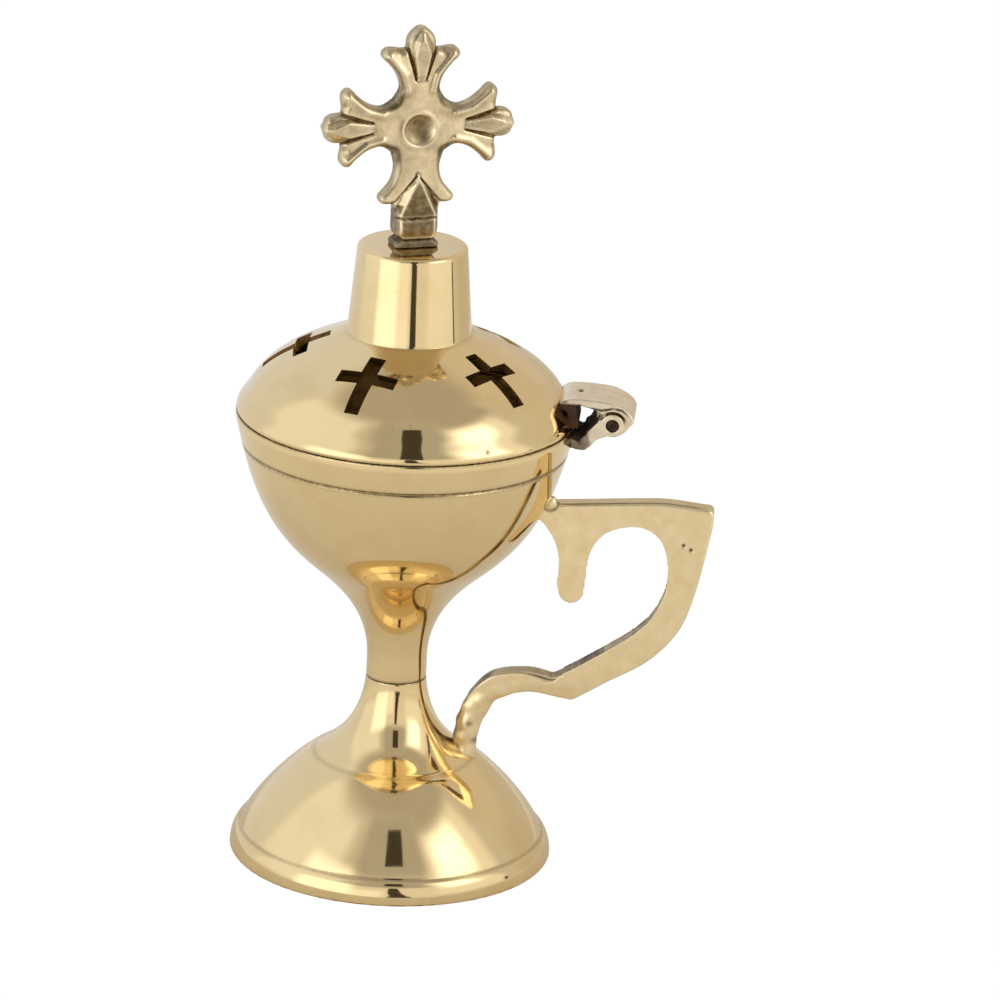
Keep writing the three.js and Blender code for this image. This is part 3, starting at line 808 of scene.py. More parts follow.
def make_materials():
    return {
        "polished": polished_brass(),
        "raw": raw_brass(),
        "smoked": smoked_brass(),
        "buffed": cast_brass("buffed_cast_brass", "#ffe8b8", "#e2bd80", (0.26, 0.36), 0.4),
        "cast": cast_brass("cast_brass", "#f6dfb4", "#a8916c", (0.2, 0.3), 0.7),
        "rubbed": cast_brass("rubbed_cast_brass", "#f9ead0", "#cbb48c", (0.3, 0.36), 0.45),
        "steel": plated_steel(),
        "pin": dark_pin_steel(),
        "iron": tinned_iron(),
    }


# Outlines of the turned pieces

def foot_outline():
    crease = (FOOT_RADIUS - RIM_BAND_LEAN, RIM_BAND_HEIGHT)
    bell_start = (crease[0] - CREASE, RIM_BAND_HEIGHT + CREASE)
    flare_start = (RING_RADIUS - RING_STEP, RING_HEIGHT + RING_RISE)
    bell = [np.array(bell_start)] + bend(bell_start, (RING_RADIUS, RING_HEIGHT), BELL_SHAPE, 40)
    flare = bend(flare_start, (STEM_RADIUS, FOOT_HEIGHT), FOOT_FLARE_SHAPE, 40)
    band = bend((FOOT_RADIUS, FOOT_EDGE_UP), crease, BAND_SHAPE, 10)
    inner = offset(bell, -FOOT_WALL)[::-1]
    edge = [(FOOT_RADIUS - FOOT_EDGE_IN, 0), (FOOT_RADIUS, FOOT_EDGE_UP)]
    outside = [*edge, *band, *bell, flare_start, *flare]
    inside = [
        (BOLT_HOLE, FOOT_HEIGHT),
        (BOLT_HOLE, BOLT_SEAT_HEIGHT),
        (BOLT_SEAT_RADIUS, BOLT_SEAT_HEIGHT),
        (BOLT_SEAT_RADIUS, BOLT_SEAT_HEIGHT - FOOT_WALL),
        *inner,
        (FOOT_RADIUS - FOOT_RIM_WALL, inner[-1][1]),
        (FOOT_RADIUS - FOOT_RIM_WALL, 0),
    ]
    return evenly(rounded(outside + inside))


def on_bowl(radius, height):
    return (radius, FOOT_HEIGHT + height)


def bowl_curves():
    """The bowl's outer wall, the flare under it and its inside, each as a rising curve."""
    rim = on_bowl(BOWL_RADIUS, RIM_HEIGHT - FOOT_HEIGHT - RIM_BAND)
    waist = on_bowl(WAIST_RADIUS, WAIST_HEIGHT)
    wall = [np.array(waist)] + bend(waist, rim, WALL_SHAPE, 60)
    flare = bend(on_bowl(STEM_RADIUS, STEM_STRAIGHT), waist, STEM_FLARE_SHAPE, 40)[:-1]
    inner = offset(wall, -BOWL_WALL)[4:]
    floor = on_bowl(FLOOR_RADIUS, FLOOR_HEIGHT)
    rise = bend(floor, inner[0], FLOOR_SHAPE, 16)
    inside = [np.array(floor), *rise, *inner[1:], np.array((BOWL_RADIUS - BOWL_WALL, RIM_HEIGHT))]
    return wall, flare, inside


def bowl_outline():
    wall, flare, inside = bowl_curves()
    line, half = RIM_HEIGHT - LINE_DROP, LINE_WIDTH / 2
    below = [p for p in wall if p[1] < line - LINE_WIDTH]
    above = [p for p in wall if p[1] > line + LINE_WIDTH]
    groove = []
    for side, depth in ((-half, 0), (-half / 3, LINE_DEPTH), (half / 3, LINE_DEPTH), (half, 0)):
        groove.append(np.array((radius_at(wall, line + side) - depth, line + side)))
    outside = [
        (0, FOOT_HEIGHT + BOLT_REACH + 2),
        (BOLT_HOLE, FOOT_HEIGHT + BOLT_REACH + 0.3),
        (BOLT_HOLE, FOOT_HEIGHT),
        (STEM_RADIUS, FOOT_HEIGHT),
        (STEM_RADIUS, FOOT_HEIGHT + STEM_STRAIGHT),
        *flare, *below, *groove, *above,
        (BOWL_RADIUS, RIM_HEIGHT),
    ]
    return evenly(rounded([*outside, *inside[::-1], (0, inside[0][1])], 0.2))


def cup_outline():
    inside = bowl_curves()[2]
    rim = RIM_HEIGHT - CUP_RIM_DROP
    wall = offset([p for p in inside if p[1] < rim - CUP_LIP], -SEAT_GAP)
    wall[0] = np.array((wall[0][0], inside[0][1] + SEAT_GAP))
    inner = offset(wall, -CUP_WALL)
    inner[0] = wall[0] + np.array((0, CUP_WALL))
    brim = radius_at(inside, rim) - 2 * SEAT_GAP
    return evenly(rounded([
        (0, wall[0][1]), *wall, (brim, rim - CUP_LIP), (brim, rim), (brim - 2 * CUP_WALL, rim),
        *inner[::-1], (0, inner[0][1]),
    ], 0.2))


def dome_curve():
    lip_top = (LID_RADIUS - LIP_LEAN, LID_BASE + LIP_HEIGHT)
    collar_foot = (COLLAR_FOOT_RADIUS, LID_BASE + COLLAR_FOOT_HEIGHT)
    return [np.array(lip_top)] + bend(lip_top, collar_foot, DOME_SHAPE, 60)


def lid_outline():
    dome = dome_curve()
    lip_edge = (LID_RADIUS, LID_BASE + 0.3)
    lip = bend(lip_edge, dome[0], LIP_SHAPE, 14)[:-1]
    edge = arc((COLLAR_TOP_RADIUS - COLLAR_EDGE, COLLAR_TOP - COLLAR_EDGE), COLLAR_EDGE, 0, 90, 8)
    under = COLLAR_TOP - COLLAR_TOP_THICKNESS
    corner = (COLLAR_FOOT_RADIUS - COLLAR_WALL, LID_BASE + COLLAR_FOOT_HEIGHT - LID_WALL)
    inner = [p for p in offset(dome, -LID_WALL) if p[0] > corner[0] + 1.2]
    outside = [(LID_RADIUS - 0.1, LID_BASE - LIP_LAP), lip_edge, *lip, *dome, *edge]
    inside = [
        (STUD_HOLE, COLLAR_TOP),
        (STUD_HOLE, under),
        (COLLAR_TOP_RADIUS - COLLAR_WALL, under),
        corner,
        *inner[::-1],
        (LID_RADIUS - LID_WALL, LID_BASE + LIP_HEIGHT / 3),
        (LID_RADIUS - LID_WALL, LID_BASE - LIP_LAP),
    ]
    return evenly(rounded(outside + inside, 0.2))


# The pieces

def make_foot(materials):
    # Rings of tarnish and painted shade at the band's crease, at the ring and at the joint with the bowl
    shade_and_tarnish_rings = (
        (RIM_BAND_HEIGHT + CREASE / 2, 0.25, 0.4),
        (RING_HEIGHT + RING_RISE / 2, 0.25, 0.25),
        (FOOT_HEIGHT, 0.2, 1.0),
    )
    metals = (materials["polished"], materials["raw"], materials["raw"])
    foot = turned_piece("bell_foot", foot_outline(), metals, (STEM_RADIUS, FOOT_HEIGHT), shade_and_tarnish_rings)
    keep(foot, "base", "polished_brass", "foot")


def make_bowl(materials):
    # Rings of tarnish and painted shade at the joint with the foot, along the engraved line and at the rim's
    # seam
    shade_and_tarnish_rings = ((FOOT_HEIGHT, 0.25, 1.0), (RIM_HEIGHT - LINE_DROP, 0.5, 0.75), (RIM_HEIGHT, 0.2, 0.85))
    metals = (materials["polished"], materials["smoked"], materials["raw"])
    bowl = turned_piece("bowl_body", bowl_outline(), metals, (BOWL_RADIUS - BOWL_WALL, RIM_HEIGHT), shade_and_tarnish_rings)
    keep(bowl, "base", "polished_brass", "bowl")


def make_charcoal_cup(materials):
    cup = turned_piece("spun_charcoal_cup", cup_outline(), (materials["iron"],) * 3, sides=CUP_SIDES)
    keep(cup, "cup", "tinned_iron", "charcoal_cup")


def latin_cross_saw(index):
    """The space that one cross leaves, sawn square through the dome with its long arm down the slope."""
    dome = np.array(dome_curve())
    ends = []
    for radius in (COLLAR_FOOT_RADIUS + CROSS_COLLAR_MARGIN, LID_RADIUS - LIP_LEAN - CROSS_LIP_MARGIN):
        ends.append(np.array((radius, np.interp(-radius, -dome[:, 0], dome[:, 1]))))
    head = ends[0]
    length = float(np.linalg.norm(ends[1] - head))
    down = (ends[1] - head) / length
    out = np.array((-down[1], down[0]))
    half, side = CROSS_BAR / 2, CROSS_SPAN / 2
    upper = [(length, half), (CROSS_HEAD + half, half), (CROSS_HEAD + half, side), (CROSS_HEAD - half, side),
             (CROSS_HEAD - half, half), (0, half)]
    shape = upper + [(x, -y) for x, y in upper[::-1]]
    # Cut by hand, so no two are quite alike
    rng = np.random.default_rng(40 + index)
    shape = np.array(shape) + rng.uniform(-CROSS_WOBBLE, CROSS_WOBBLE, (len(shape), 2))
    angle = (index + 0.5) * 2 * math.pi / CROSS_COUNT
    c, s = math.cos(angle), math.sin(angle)
    layers = []
    for depth in (-SAW_REACH, SAW_REACH):
        layer = []
        for along, across in shape:
            radius, height = head + down * along + out * depth
            layer.append((radius * c - across * s, radius * s + across * c, height))
        layers.append(layer)
    return stacked(layers)


def make_lid(materials):
    # Rings of tarnish and painted shade at the seam over the bowl's rim and at the collar's foot
    shade_and_tarnish_rings = ((LID_BASE - LIP_LAP, 0.22, 0.9), (LID_BASE + COLLAR_FOOT_HEIGHT, 0.25, 0.15))
    metals = (materials["polished"], materials["smoked"], materials["raw"])
    saws = [latin_cross_saw(i) for i in range(CROSS_COUNT)]
    lid = turned_piece("pierced_lid", lid_outline(), metals, (STUD_HOLE, COLLAR_TOP), shade_and_tarnish_rings, [LIP_PIT], saws)
    keep(lid, "lid_assembly", "polished_brass", "lid")


def pin_at(x, z):
    return np.array((PIN_X + x, PIN_Z + z))


def make_bowl_hinge_leaf(materials):
    inside = BOWL_RADIUS - PIN_X - LOWER_LEAF_INSIDE
    knuckle = arc(pin_at(0, 0), KNUCKLE_RADIUS, -112, 148, 40)
    top = through([pin_at(-2.5, 1.2), pin_at(-3.4, 0.3), pin_at(-4.6, -1.1), pin_at(-5.7, -2.6),
                   pin_at(-6.6, -3.3)], 20)
    under = through([pin_at(-6, -5.4), pin_at(-4.6, -4.9), pin_at(-3.1, -3.2), pin_at(-1.7, -2.5)], 16)
    outline = [*knuckle, *top, pin_at(inside, -3), pin_at(inside, -5.2), *under]
    leaf = solid("hinge_lower_leaf", [slab(outline, HINGE_WIDTH, LEAF_EDGE)], materials["rubbed"])
    slot = pin_bar(TONGUE_RADIUS + SIDE_GAP, TONGUE_WIDTH + 2 * SIDE_GAP)
    cut(leaf, [slot, pin_bar(PIN_BORE, 2 * HINGE_WIDTH)])
    cast(leaf, LEAF_GRAIN, LEAF_PASSES)
    points, normals = vertices_of(leaf.data), normals_of(leaf.data)
    x = points[:, 0] - PIN_X
    # Filler metal runs down to the bowl, uneven, burnt and painted in shade, and painted shade lies on the
    # arm's upward faces
    root = ease(-x + 0.3 * ripples(points, 2.1, 12), 3.9, 5.4)
    points += normals * (0.16 * root * ripples(points, 1.7, 11))[:, None]
    move_vertices(leaf.data, points)
    mark_wear(leaf.data, 10, 0.12)
    upward_painted_shade = ease(normals[:, 2], 0.0, 0.5) * ease(-x, 2.3, 3.2)
    store(leaf.data, "burnt", np.maximum(upward_painted_shade, 0.75 * root))
    keep(put_in_place(leaf), "base", "cast_brass", "bowl_hinge_leaf")


def make_lid_hinge_leaf(materials):
    hook_radius = KNUCKLE_RADIUS + KNUCKLE_GAP
    hook_end = STOP_DIRECTION + LID_OPENING + STOP_SLACK
    inside = BOWL_RADIUS - PIN_X - UPPER_LEAF_INSIDE
    foot_low = LID_BASE - PIN_Z + SEAT_GAP
    tab = [(-10.6, 4.1), (-9.6, 4.8), (-8, TAB_RISE), (-5, TAB_RISE), (-1, 4.75), (1.4, 3.95), (3.4, 2.6),
           (TAB_OVERHANG, 1.3)]
    outline = [
        pin_at(inside, 2.2),
        pin_at(-10.6, 3.2),
        *through([pin_at(*p) for p in tab], 40),
        pin_at(TAB_OVERHANG - 0.2, 0.7),
        pin_at(TAB_OVERHANG - 0.75, 0),
        *arc(pin_at(0, 0), hook_radius, hook_end, 136, 40),
        pin_at(-3.9, 3.15),
        pin_at(-6.7, 3.9),
        pin_at(-7.3, 3.7),
        pin_at(-6.7, foot_low),
        pin_at(inside, foot_low),
    ]
    parts = [slab(outline, HINGE_WIDTH, LEAF_EDGE), pin_bar(TONGUE_RADIUS, TONGUE_WIDTH)]
    leaf = solid("hinge_upper_leaf", parts, materials["rubbed"])
    cast(leaf, LEAF_GRAIN, LEAF_PASSES)
    smooth(cut(leaf, [pin_bar(PIN_BORE, 2 * HINGE_WIDTH)]))
    points, normals = vertices_of(leaf.data), normals_of(leaf.data)
    place = points - (PIN_X, 0, PIN_Z)
    flat = place[:, (0, 2)]
    # A pit that the sand left in the top of the tab, and the step under the tab's front edge
    pit = near(np.linalg.norm((place - TAB_PIT) * (1, 0.75, 1), axis=1), 0.62)
    front = ease(-normals[:, 1], 0.5, 0.9)
    step_line = [(-4.2, 3.2), (-2.5, 3.1), (-1.1, 3.25), (0.1, 3.55), (1.7, 3.3), (3.0, 2.3)]
    step = front * near(distance_to(flat, step_line) + 0.12 * np.abs(ripples(points, 1.4, 21)), 0.28)
    points -= normals * (0.45 * pit + 0.35 * step)[:, None]
    move_vertices(leaf.data, points)
    mark_wear(leaf.data, 10, 0.12, 0.8 * pit)
    # Painted shade, carried in the burnt crust: on the foot plate beside the dome, on the faces turned down
    # near the pin, in the step under the tab's front edge and on the front of the root
    foot_plate_shade = ease(-flat[:, 0], 6.1, 6.5) * ease(-flat[:, 1], -4.3, -3.9)
    under = ease(-normals[:, 2], 0.1, 0.6) * ease(-flat[:, 0], 1.2, 2.4)
    root = 0.6 * ease(-flat[:, 0] + 0.4 * ripples(points, 1.9, 22), 8.0, 9.6) * front
    store(leaf.data, "burnt", np.maximum.reduce((foot_plate_shade, under, 0.85 * step, root)))
    keep(put_in_place(leaf), "lid_assembly", "cast_brass", "lid_hinge_leaf")


def on_handle(across, up):
    """A point of the handle's outline, in shares of its reach from the leg's root and of its height."""
    foot, top = FOOT_HEIGHT - LEG_DROP, RIM_HEIGHT - HANDLE_TOP_DROP
    return np.array((RING_RADIUS + across * (HANDLE_END - RING_RADIUS), foot + up * (top - foot)))


def handle_outline():
    top_edge = [(0.109, 0.959), (0.331, 0.971), (0.676, 0.996), (0.802, 1), (0.964, 0.986)]
    back_edge = [(0.998, 0.908), (0.94, 0.638), (0.873, 0.46), (0.744, 0.321), (0.564, 0.217),
                 (0.489, 0.172), (0.429, 0.135)]
    leg_back = [(0.409, 0.127), (0.356, 0.137), (0.211, 0.153), (0.087, 0.108), (0.018, 0),
                (-0.004, -0.102), (-0.004, -0.266)]
    leg_front = [(-0.111, -0.266), (-0.104, -0.061), (-0.062, 0.09), (0.047, 0.211), (0.207, 0.241),
                 (0.318, 0.223)]
    loop = [(0.333, 0.225), (0.46, 0.294), (0.698, 0.45), (0.791, 0.581), (0.813, 0.714), (0.782, 0.834),
            (0.709, 0.89), (0.62, 0.894), (0.522, 0.857), (0.462, 0.767), (0.442, 0.603)]
    thumb_front = [(0.327, 0.634), (0.329, 0.748), (0.293, 0.843), (0.218, 0.914), (0.109, 0.918)]
    outline = []
    for points, steps in ((top_edge, 60), (back_edge, 70), (leg_back, 70), (leg_front, 60), (loop, 120),
                          (thumb_front, 50)):
        if points is back_edge:
            outline += arc(on_handle(0.971, 0.961), HANDLE_CORNER, 75, 0, 8)
        if points is thumb_front:
            outline += arc(on_handle(0.389, 0.605), THUMB_TIP, -12, -168, 16)
        outline += through([on_handle(*p) for p in points], steps)
    return outline


def fit_against(points, outline, sink):
    """Points that lie inside a turned body, pulled back to just under the body's skin."""
    outline = np.array(outline)
    radius = np.hypot(points[:, 0], points[:, 1])
    skin = np.interp(points[:, 2], outline[:, 1], outline[:, 0]) - sink
    within = (radius < skin) & (points[:, 2] > outline[0, 1]) & (points[:, 2] < outline[-1, 1])
    grow = np.where(within, skin / np.maximum(radius, 1e-6), 1)
    return points * np.stack((grow, grow, np.ones(len(grow))), 1)


def make_handle(materials):
    # The upper root has a bead of filler beside it
    parts = [slab(handle_outline(), HANDLE_THICKNESS, HANDLE_EDGE), lump(BEAD, BEAD_SIZE, 3),
             lump(UPPER_ROOT, UPPER_ROOT_SIZE, 5), lump(LOWER_ROOT, LOWER_ROOT_SIZE, 8)]
    handle = solid("flat_handle", parts, materials["buffed"])
    cast(handle, HANDLE_GRAIN, 3)
    mesh = handle.data
    points, normals = vertices_of(mesh), normals_of(mesh)
    flat, front = points[:, (0, 2)], ease(-normals[:, 1], 0.5, 0.9)

    # Towards the foot the leg is filed round, and uneven filler metal covers it
    leg = [(-0.058, -0.2), (-0.055, -0.05), (-0.02, 0.06), (0.066, 0.16), (0.2, 0.195)]
    off = distance_to(flat, [on_handle(*p) for p in leg])
    filed = ease(-points[:, 2], -38, -31)
    points[:, 1] *= 1 - filed * 0.55 * np.clip(off / 2.4, 0, 1) ** 2
    root = np.maximum(near(points[:, 0] - 25, 4) * near(points[:, 2] - 75, 4), ease(-points[:, 2], -37, -31))
    points += normals * (0.13 * root * ripples(points, 3.4, 4))[:, None]
    # A cold shut in the casting, two pits, and the seam left behind the front edge of the top
    shut_line = [(25.1, 40.2), (28.2, 39.4), (31.4, 39.0), (33.5, 40.7)]
    pits = ((56.0, 68.55), (57.5, 67.7))
    shut_width = 0.3 + 0.45 * near(points[:, 0] - 30.2, 1.6)
    shut = front * near(distance_to(flat, shut_line), shut_width)
    for place in pits:
        shut = np.maximum(shut, 0.7 * front * near(np.linalg.norm(flat - place, axis=1), 0.35))
    seam = ease(normals[:, 2], 0.3, 0.8) * near(points[:, 1] + 1.35, 0.3) * ease(points[:, 0], 30.5, 32.5)
    seam = seam * ease(points[:, 2], 74, 75) * ease(-points[:, 0], -60.5, -57)
    points -= normals * (0.5 * shut + 0.12 * seam)[:, None]

    # The roots end just under the skin of the bowl and of the foot
    foot = [p for p in foot_outline() if p[1] > RIM_BAND_HEIGHT + CREASE]
    top = max(range(len(foot)), key=lambda i: foot[i][1])
    for outline in (bowl_curves()[0], foot[:top + 1]):
        points = fit_against(points, outline, ROOT_SINK)
    move_vertices(mesh, points)
    # Painted shade on the faces turned up, most on the top of the leg, on the edges that face the bowl and
    # the inside of the loop, and in a ring round the bead
    normals = normals_of(mesh)
    upper = ease(normals[:, 2], 0.2, 0.7) * (0.3 + 0.35 * (points[:, 2] < 45))
    dull = 0.5 * ease(-normals[:, 0], 0.3, 0.7) + upper
    ring = near(np.hypot(points[:, 0] - BEAD[0], points[:, 2] - BEAD[2]) - 1.55, 0.3) * (points[:, 1] < 0)
    mark_wear(mesh, 12, 0.22, np.maximum(dull, 0.8 * ring))
    # Where the filler didn't flow the roots have gaps, painted dark as their shade, each given as a place and
    # a width
    filler_gaps = (((15.1, 28.1), 0.6), ((11.4, 26.2), 1.3), ((13.0, 32.0), 0.5), ((16.3, 24.4), 0.7),
                   ((26.3, 73.0), 0.6))
    gaps = np.zeros(len(flat))
    for place, width in filler_gaps:
        gaps = np.maximum(gaps, near(np.linalg.norm(flat - place, axis=1), width))
    # Faces turned towards the bowl and not up get painted shade in the burnt crust
    inward_painted_shade = ease(-normals[:, 0] - np.abs(normals[:, 1]), 0.1, 0.6) * ease(-normals[:, 2], -0.45, -0.1)
    store(mesh, "burnt", np.maximum.reduce((shut, 0.8 * seam, 0.75 * gaps, 0.75 * inward_painted_shade)))
    keep(put_in_place(handle), "base", "polished_brass", "handle")


# The cast cross, as distances across and along each arm from the crossing

def arm_outline(tip):
    """Half of one arm of the cross, from the crook beside the crossing to its petal's tip."""
    neck = [(5.25, 5.25), (3.95, 7.6), (4.75, 10.4), (6.55, 12.7)]
    lobe = [(6.55, 12.7), (7.65, 13.7), (7.8, 14.7), (7.0, 15.6), (5.6, 15.75), (3.1, 15.5)]
    petal = [(2.85, 16.2), (2.75, 17.4), (2.1, 18.6), (1.0, tip - 0.35), (0, tip)]
    return through(neck, 16)[:-1] + through(lobe, 20) + through(petal, 16)


def foot_arm_outline():
    """Half of the lowest arm, which ends in two lobes, a square trunk and a bead."""
    neck = [(5.25, 5.25), (4.5, 8.2), (5.1, 11.1), (6.7, 13.2)]
    lobe = [(6.7, 13.2), (7.5, 14.2), (7.3, 15.3), (6.2, 15.8), (4.9, 15.7)]
    trunk = [(4.45, 16.6), (4.4, 18.6), (4.4, 20.8), (4.1, 21.8), (3.5, 22.5), (3.6, 22.9), (4.25, 23.2),
             (4.5, 23.7), (4.4, 24.3)]
    low = CROSS_FOOT - CROSSING_DROP
    return through(neck, 16)[:-1] + through(lobe, 14) + through(trunk, 28) + [
        np.array((4.1, low)), np.array((0, low))]


def cross_outline():
    """The whole outline, clockwise from the top."""
    outline = []
    for angle, half in ((0, arm_outline(TOP_ARM)), (90, arm_outline(SIDE_ARM)), (180, foot_arm_outline()),
                        (270, arm_outline(SIDE_ARM))):
        c, s = math.cos(math.radians(angle)), math.sin(math.radians(angle))
        arm = [(-x, z) for x, z in half] + [(x, z) for x, z in half[::-1]][1:]
        outline += [(c * x + s * z, -s * x + c * z) for x, z in arm[:-1]]
    return np.array(outline)


def petal_height(across, along):
    """Half the thickness of the petal that ends an arm, a flat strip between two falling facets, and its
    half-width."""
    width = np.interp(along, (9, 10, 12, 14, 16.2, 17.4, 18.6, 19.5, 20),
                      (0.75, 1.0, 1.6, 2.25, 2.85, 2.75, 2.1, 1.0, 0.3))
    strip = np.interp(along, (9, 14.4, 16.2, 17.5, 19), (0.7, 1.45, 0.8, 0.25, 0.1))
    top = np.interp(along, (8.8, 10.5, 15.5, 17.2, 18.8, 20), (1.7, 2.25, 2.75, 2.7, 2.1, 0.9))
    fall = np.clip((across - strip) / (width - strip), 0, 1) ** 1.2
    height = top + (0.85 - top) * fall
    inside = (along > 8.8) & (across < width)
    return np.where(inside, height, 0), width


def add_petals(x, z, height, patina_and_shade):
    """Three arms with petals: ribs that run out into the lobes, and a petal between two grooves."""
    for turn in (0, 90, 270):
        c, s = math.cos(math.radians(turn)), math.sin(math.radians(turn))
        across, along = np.abs(c * x - s * z), s * x + c * z
        here = along > 5
        flat = np.stack((across, along), 1)
        rib = here * near(distance_to(flat, RIB_LINE), RIB_WIDTH)
        hollow = here * near(np.hypot(across - LOBE_HOLLOW[0], along - LOBE_HOLLOW[1]), 0.9)
        height += 0.4 * rib - 0.5 * hollow
        petal, width = petal_height(across, along)
        groove = near(across - width - 0.1, 0.3) * ease(along, 8.8, 9.6) * ease(-along, -16.2, -15.5)
        height = np.maximum(height - 0.6 * groove, petal)
        patina_and_shade = np.maximum(patina_and_shade, np.maximum(0.5 * groove, 0.5 * hollow))
        # Painted shade: the petals are darker, most on the facets that fall to their edges
        patina_and_shade = np.where(petal > 0, 0.22 + 0.35 * ease(across / np.maximum(width, 0.1), 0.6, 0.95), patina_and_shade)
    return height, patina_and_shade


def add_trunk(places, rim, height, patina_and_shade):
    """The lowest arm: a V cut into it, out of which a flat-faced gable runs down into the square trunk."""
    x, z = places.T
    side = np.abs(x)
    low = z < -9.5
    out = side - np.interp(-z, (10.2, 17.6, 21.4, TRUNK_END), (0.1, 3.45, 3.45, 2.9))
    cut_line = distance_to(np.stack((side, z), 1), [(0.1, -10.3), (4.5, -CUT_END)])
    between = low & (side < np.interp(-z, (10.3, CUT_END), (0.1, 4.6))) & (z > -TRUNK_END)
    slope = GABLE_HALF - GABLE_FALL * np.clip(out / GABLE_FALL, 0, 1)
    height = np.where(between, slope, height - 0.5 * near(cut_line, 0.25) * (z > -CUT_END) * low)
    height += between * (out < 0) * 0.25 * near(z + 20.2, 1.5)
    crack = between * near(z + CRACK_DROP + 0.1 * ripples(places[:, (0, 1, 0)], 2.2, 31), 0.2)
    height -= 0.3 * crack
    ring = z < -TRUNK_END
    bead = 2.3 + 0.7 * np.sqrt(np.clip(1 - ((z + BEAD_DROP) / BEAD_HALF) ** 2, 0, 1))
    height = np.where(ring, bead - 0.5 * np.clip(side - 3.6, 0, 1) ** 2, height)
    height -= 0.35 * ease(-rim, -0.5, 0) * (z < -CUT_END) * (z > -23.5)
    # Painted shade on the gable's face, the right-hand facet and edge, and the left-hand facet low down; the
    # left-hand edge and upper facet are left bright, as the light falls from the left
    patina_and_shade = np.where(between, 0.9, patina_and_shade)
    patina_and_shade = np.where(between & (out > 0), np.where(x < 0, 0.05 + 0.85 * (z < -15.6), 0.85), patina_and_shade)
    patina_and_shade = np.where(between & (np.abs(out) < 0.22), np.where(x < 0, 0, 0.35), patina_and_shade)
    patina_and_shade = np.maximum(patina_and_shade, 0.9 * crack)
    patina_and_shade = np.where(ring, 0.95, patina_and_shade)
    patina_and_shade = np.maximum(patina_and_shade, 0.8 * near(z + 22.5, 0.35) * (side < 5))
    patina_and_shade = np.where(low & (z > -CUT_END) & ~between, np.maximum(patina_and_shade, 0.7 * near(cut_line, 0.3)), patina_and_shade)
    return height, patina_and_shade


def relief(places):
    """Half the thickness of the cross, and its patina and painted shade, at places given from the crossing.
    """
    x, z = places.T
    rim = distance_to(places, cross_outline(), closed=True)
    crook = near(np.hypot(np.abs(x) - 5, np.abs(z) - 5), 2.4)
    rise = np.clip(rim / (1.25 + 1.1 * crook), 0, 1)
    height = EDGE_HALF + (FACE_HALF - EDGE_HALF) * np.sqrt(1 - (1 - rise) ** 2)
    # Patina with painted shade, darker on the bevelled edges and more in the crooks
    patina_and_shade = ease(-rise, -0.9, -0.4) * (0.5 + 0.45 * crook) + 0.4 * crook
    height, patina_and_shade = add_petals(x, z, height, patina_and_shade)
    # The round dimple in the middle, darker inside with patina and painted shade
    middle = np.hypot(x, z + DIMPLE_DROP)
    height += 0.15 * near(middle - DIMPLE_RADIUS - 0.3, 0.5)
    height -= DIMPLE_DEPTH * np.clip(1 - (middle / DIMPLE_RADIUS) ** 2, 0, None)
    patina_and_shade = np.maximum(patina_and_shade, 0.65 * ease(-middle, -DIMPLE_RADIUS, -DIMPLE_RADIUS / 2))
    height, patina_and_shade = add_trunk(places, rim, height, patina_and_shade)
    return np.maximum(height, 0.4), np.clip(patina_and_shade, 0, 1)


def make_finial(materials):
    finial = solid("cross_casting", [slab(cross_outline(), CROSS_PLATE, CROSS_EDGE)], materials["cast"])
    cast(finial, CROSS_GRAIN, 2)
    points = vertices_of(finial.data)
    height, patina_and_shade = relief(points[:, (0, 2)])
    points[:, 1] *= height / (CROSS_PLATE / 2)
    points[:, 2] -= CROSSING_DROP
    move_vertices(finial.data, points)
    mark_wear(finial.data, 8, 0.16, patina_and_shade)
    # Flux from the solder has burnt on to the bead round the foot
    store(finial.data, "burnt", 0.35 * ease(-points[:, 2], 22.3 + CROSSING_DROP, 22.8 + CROSSING_DROP))
    put_in_place(finial, (0, 0, COLLAR_TOP + FINIAL_CENTRE), FINIAL_TURN)
    keep(finial, "lid_assembly", "cast_brass", "cross_finial")


def dress_fasteners(materials):
    """The bolt, the washers, the screw and the pin keep their own solids and get their metal."""
    for node, material in (("foot_bolt", "steel"), ("foot_washer", "steel"), ("finial_screw", "steel"),
                           ("finial_washer", "steel"), ("hinge_pin", "pin")):
        piece = frame["nodes"][node]
        piece.data.materials.clear()
        piece.data.materials.append(materials[material])


# The cloth tent, the floor and the camera. Directions are azimuths from the front, towards the right.

TENT_RADIUS = 420
TENT_HEIGHT = 800
TENT_STEPS = 240
TENT_ROWS = 90
CENTRE_HEIGHT = 80
FLOOR_REACH = 3000
FLOOR_DROP = 0.02


def panel(azimuth, elevation, across, up, soft=(12, 12)):
    """How strongly a soft-edged panel shows in each direction: 1 well inside its edges."""
    middle, half = (across[0] + across[1]) / 2, (across[1] - across[0]) / 2
    off = np.abs((azimuth - middle + 180) % 360 - 180)
    sides = ease(-off, -half - soft[0] / 2, -half + soft[0] / 2)
    low = ease(elevation, up[0] - soft[1] / 2, up[0] + soft[1] / 2)
    high = ease(-elevation, -up[1] - soft[1] / 2, -up[1] + soft[1] / 2)
    return (sides * low * high)[:, None]


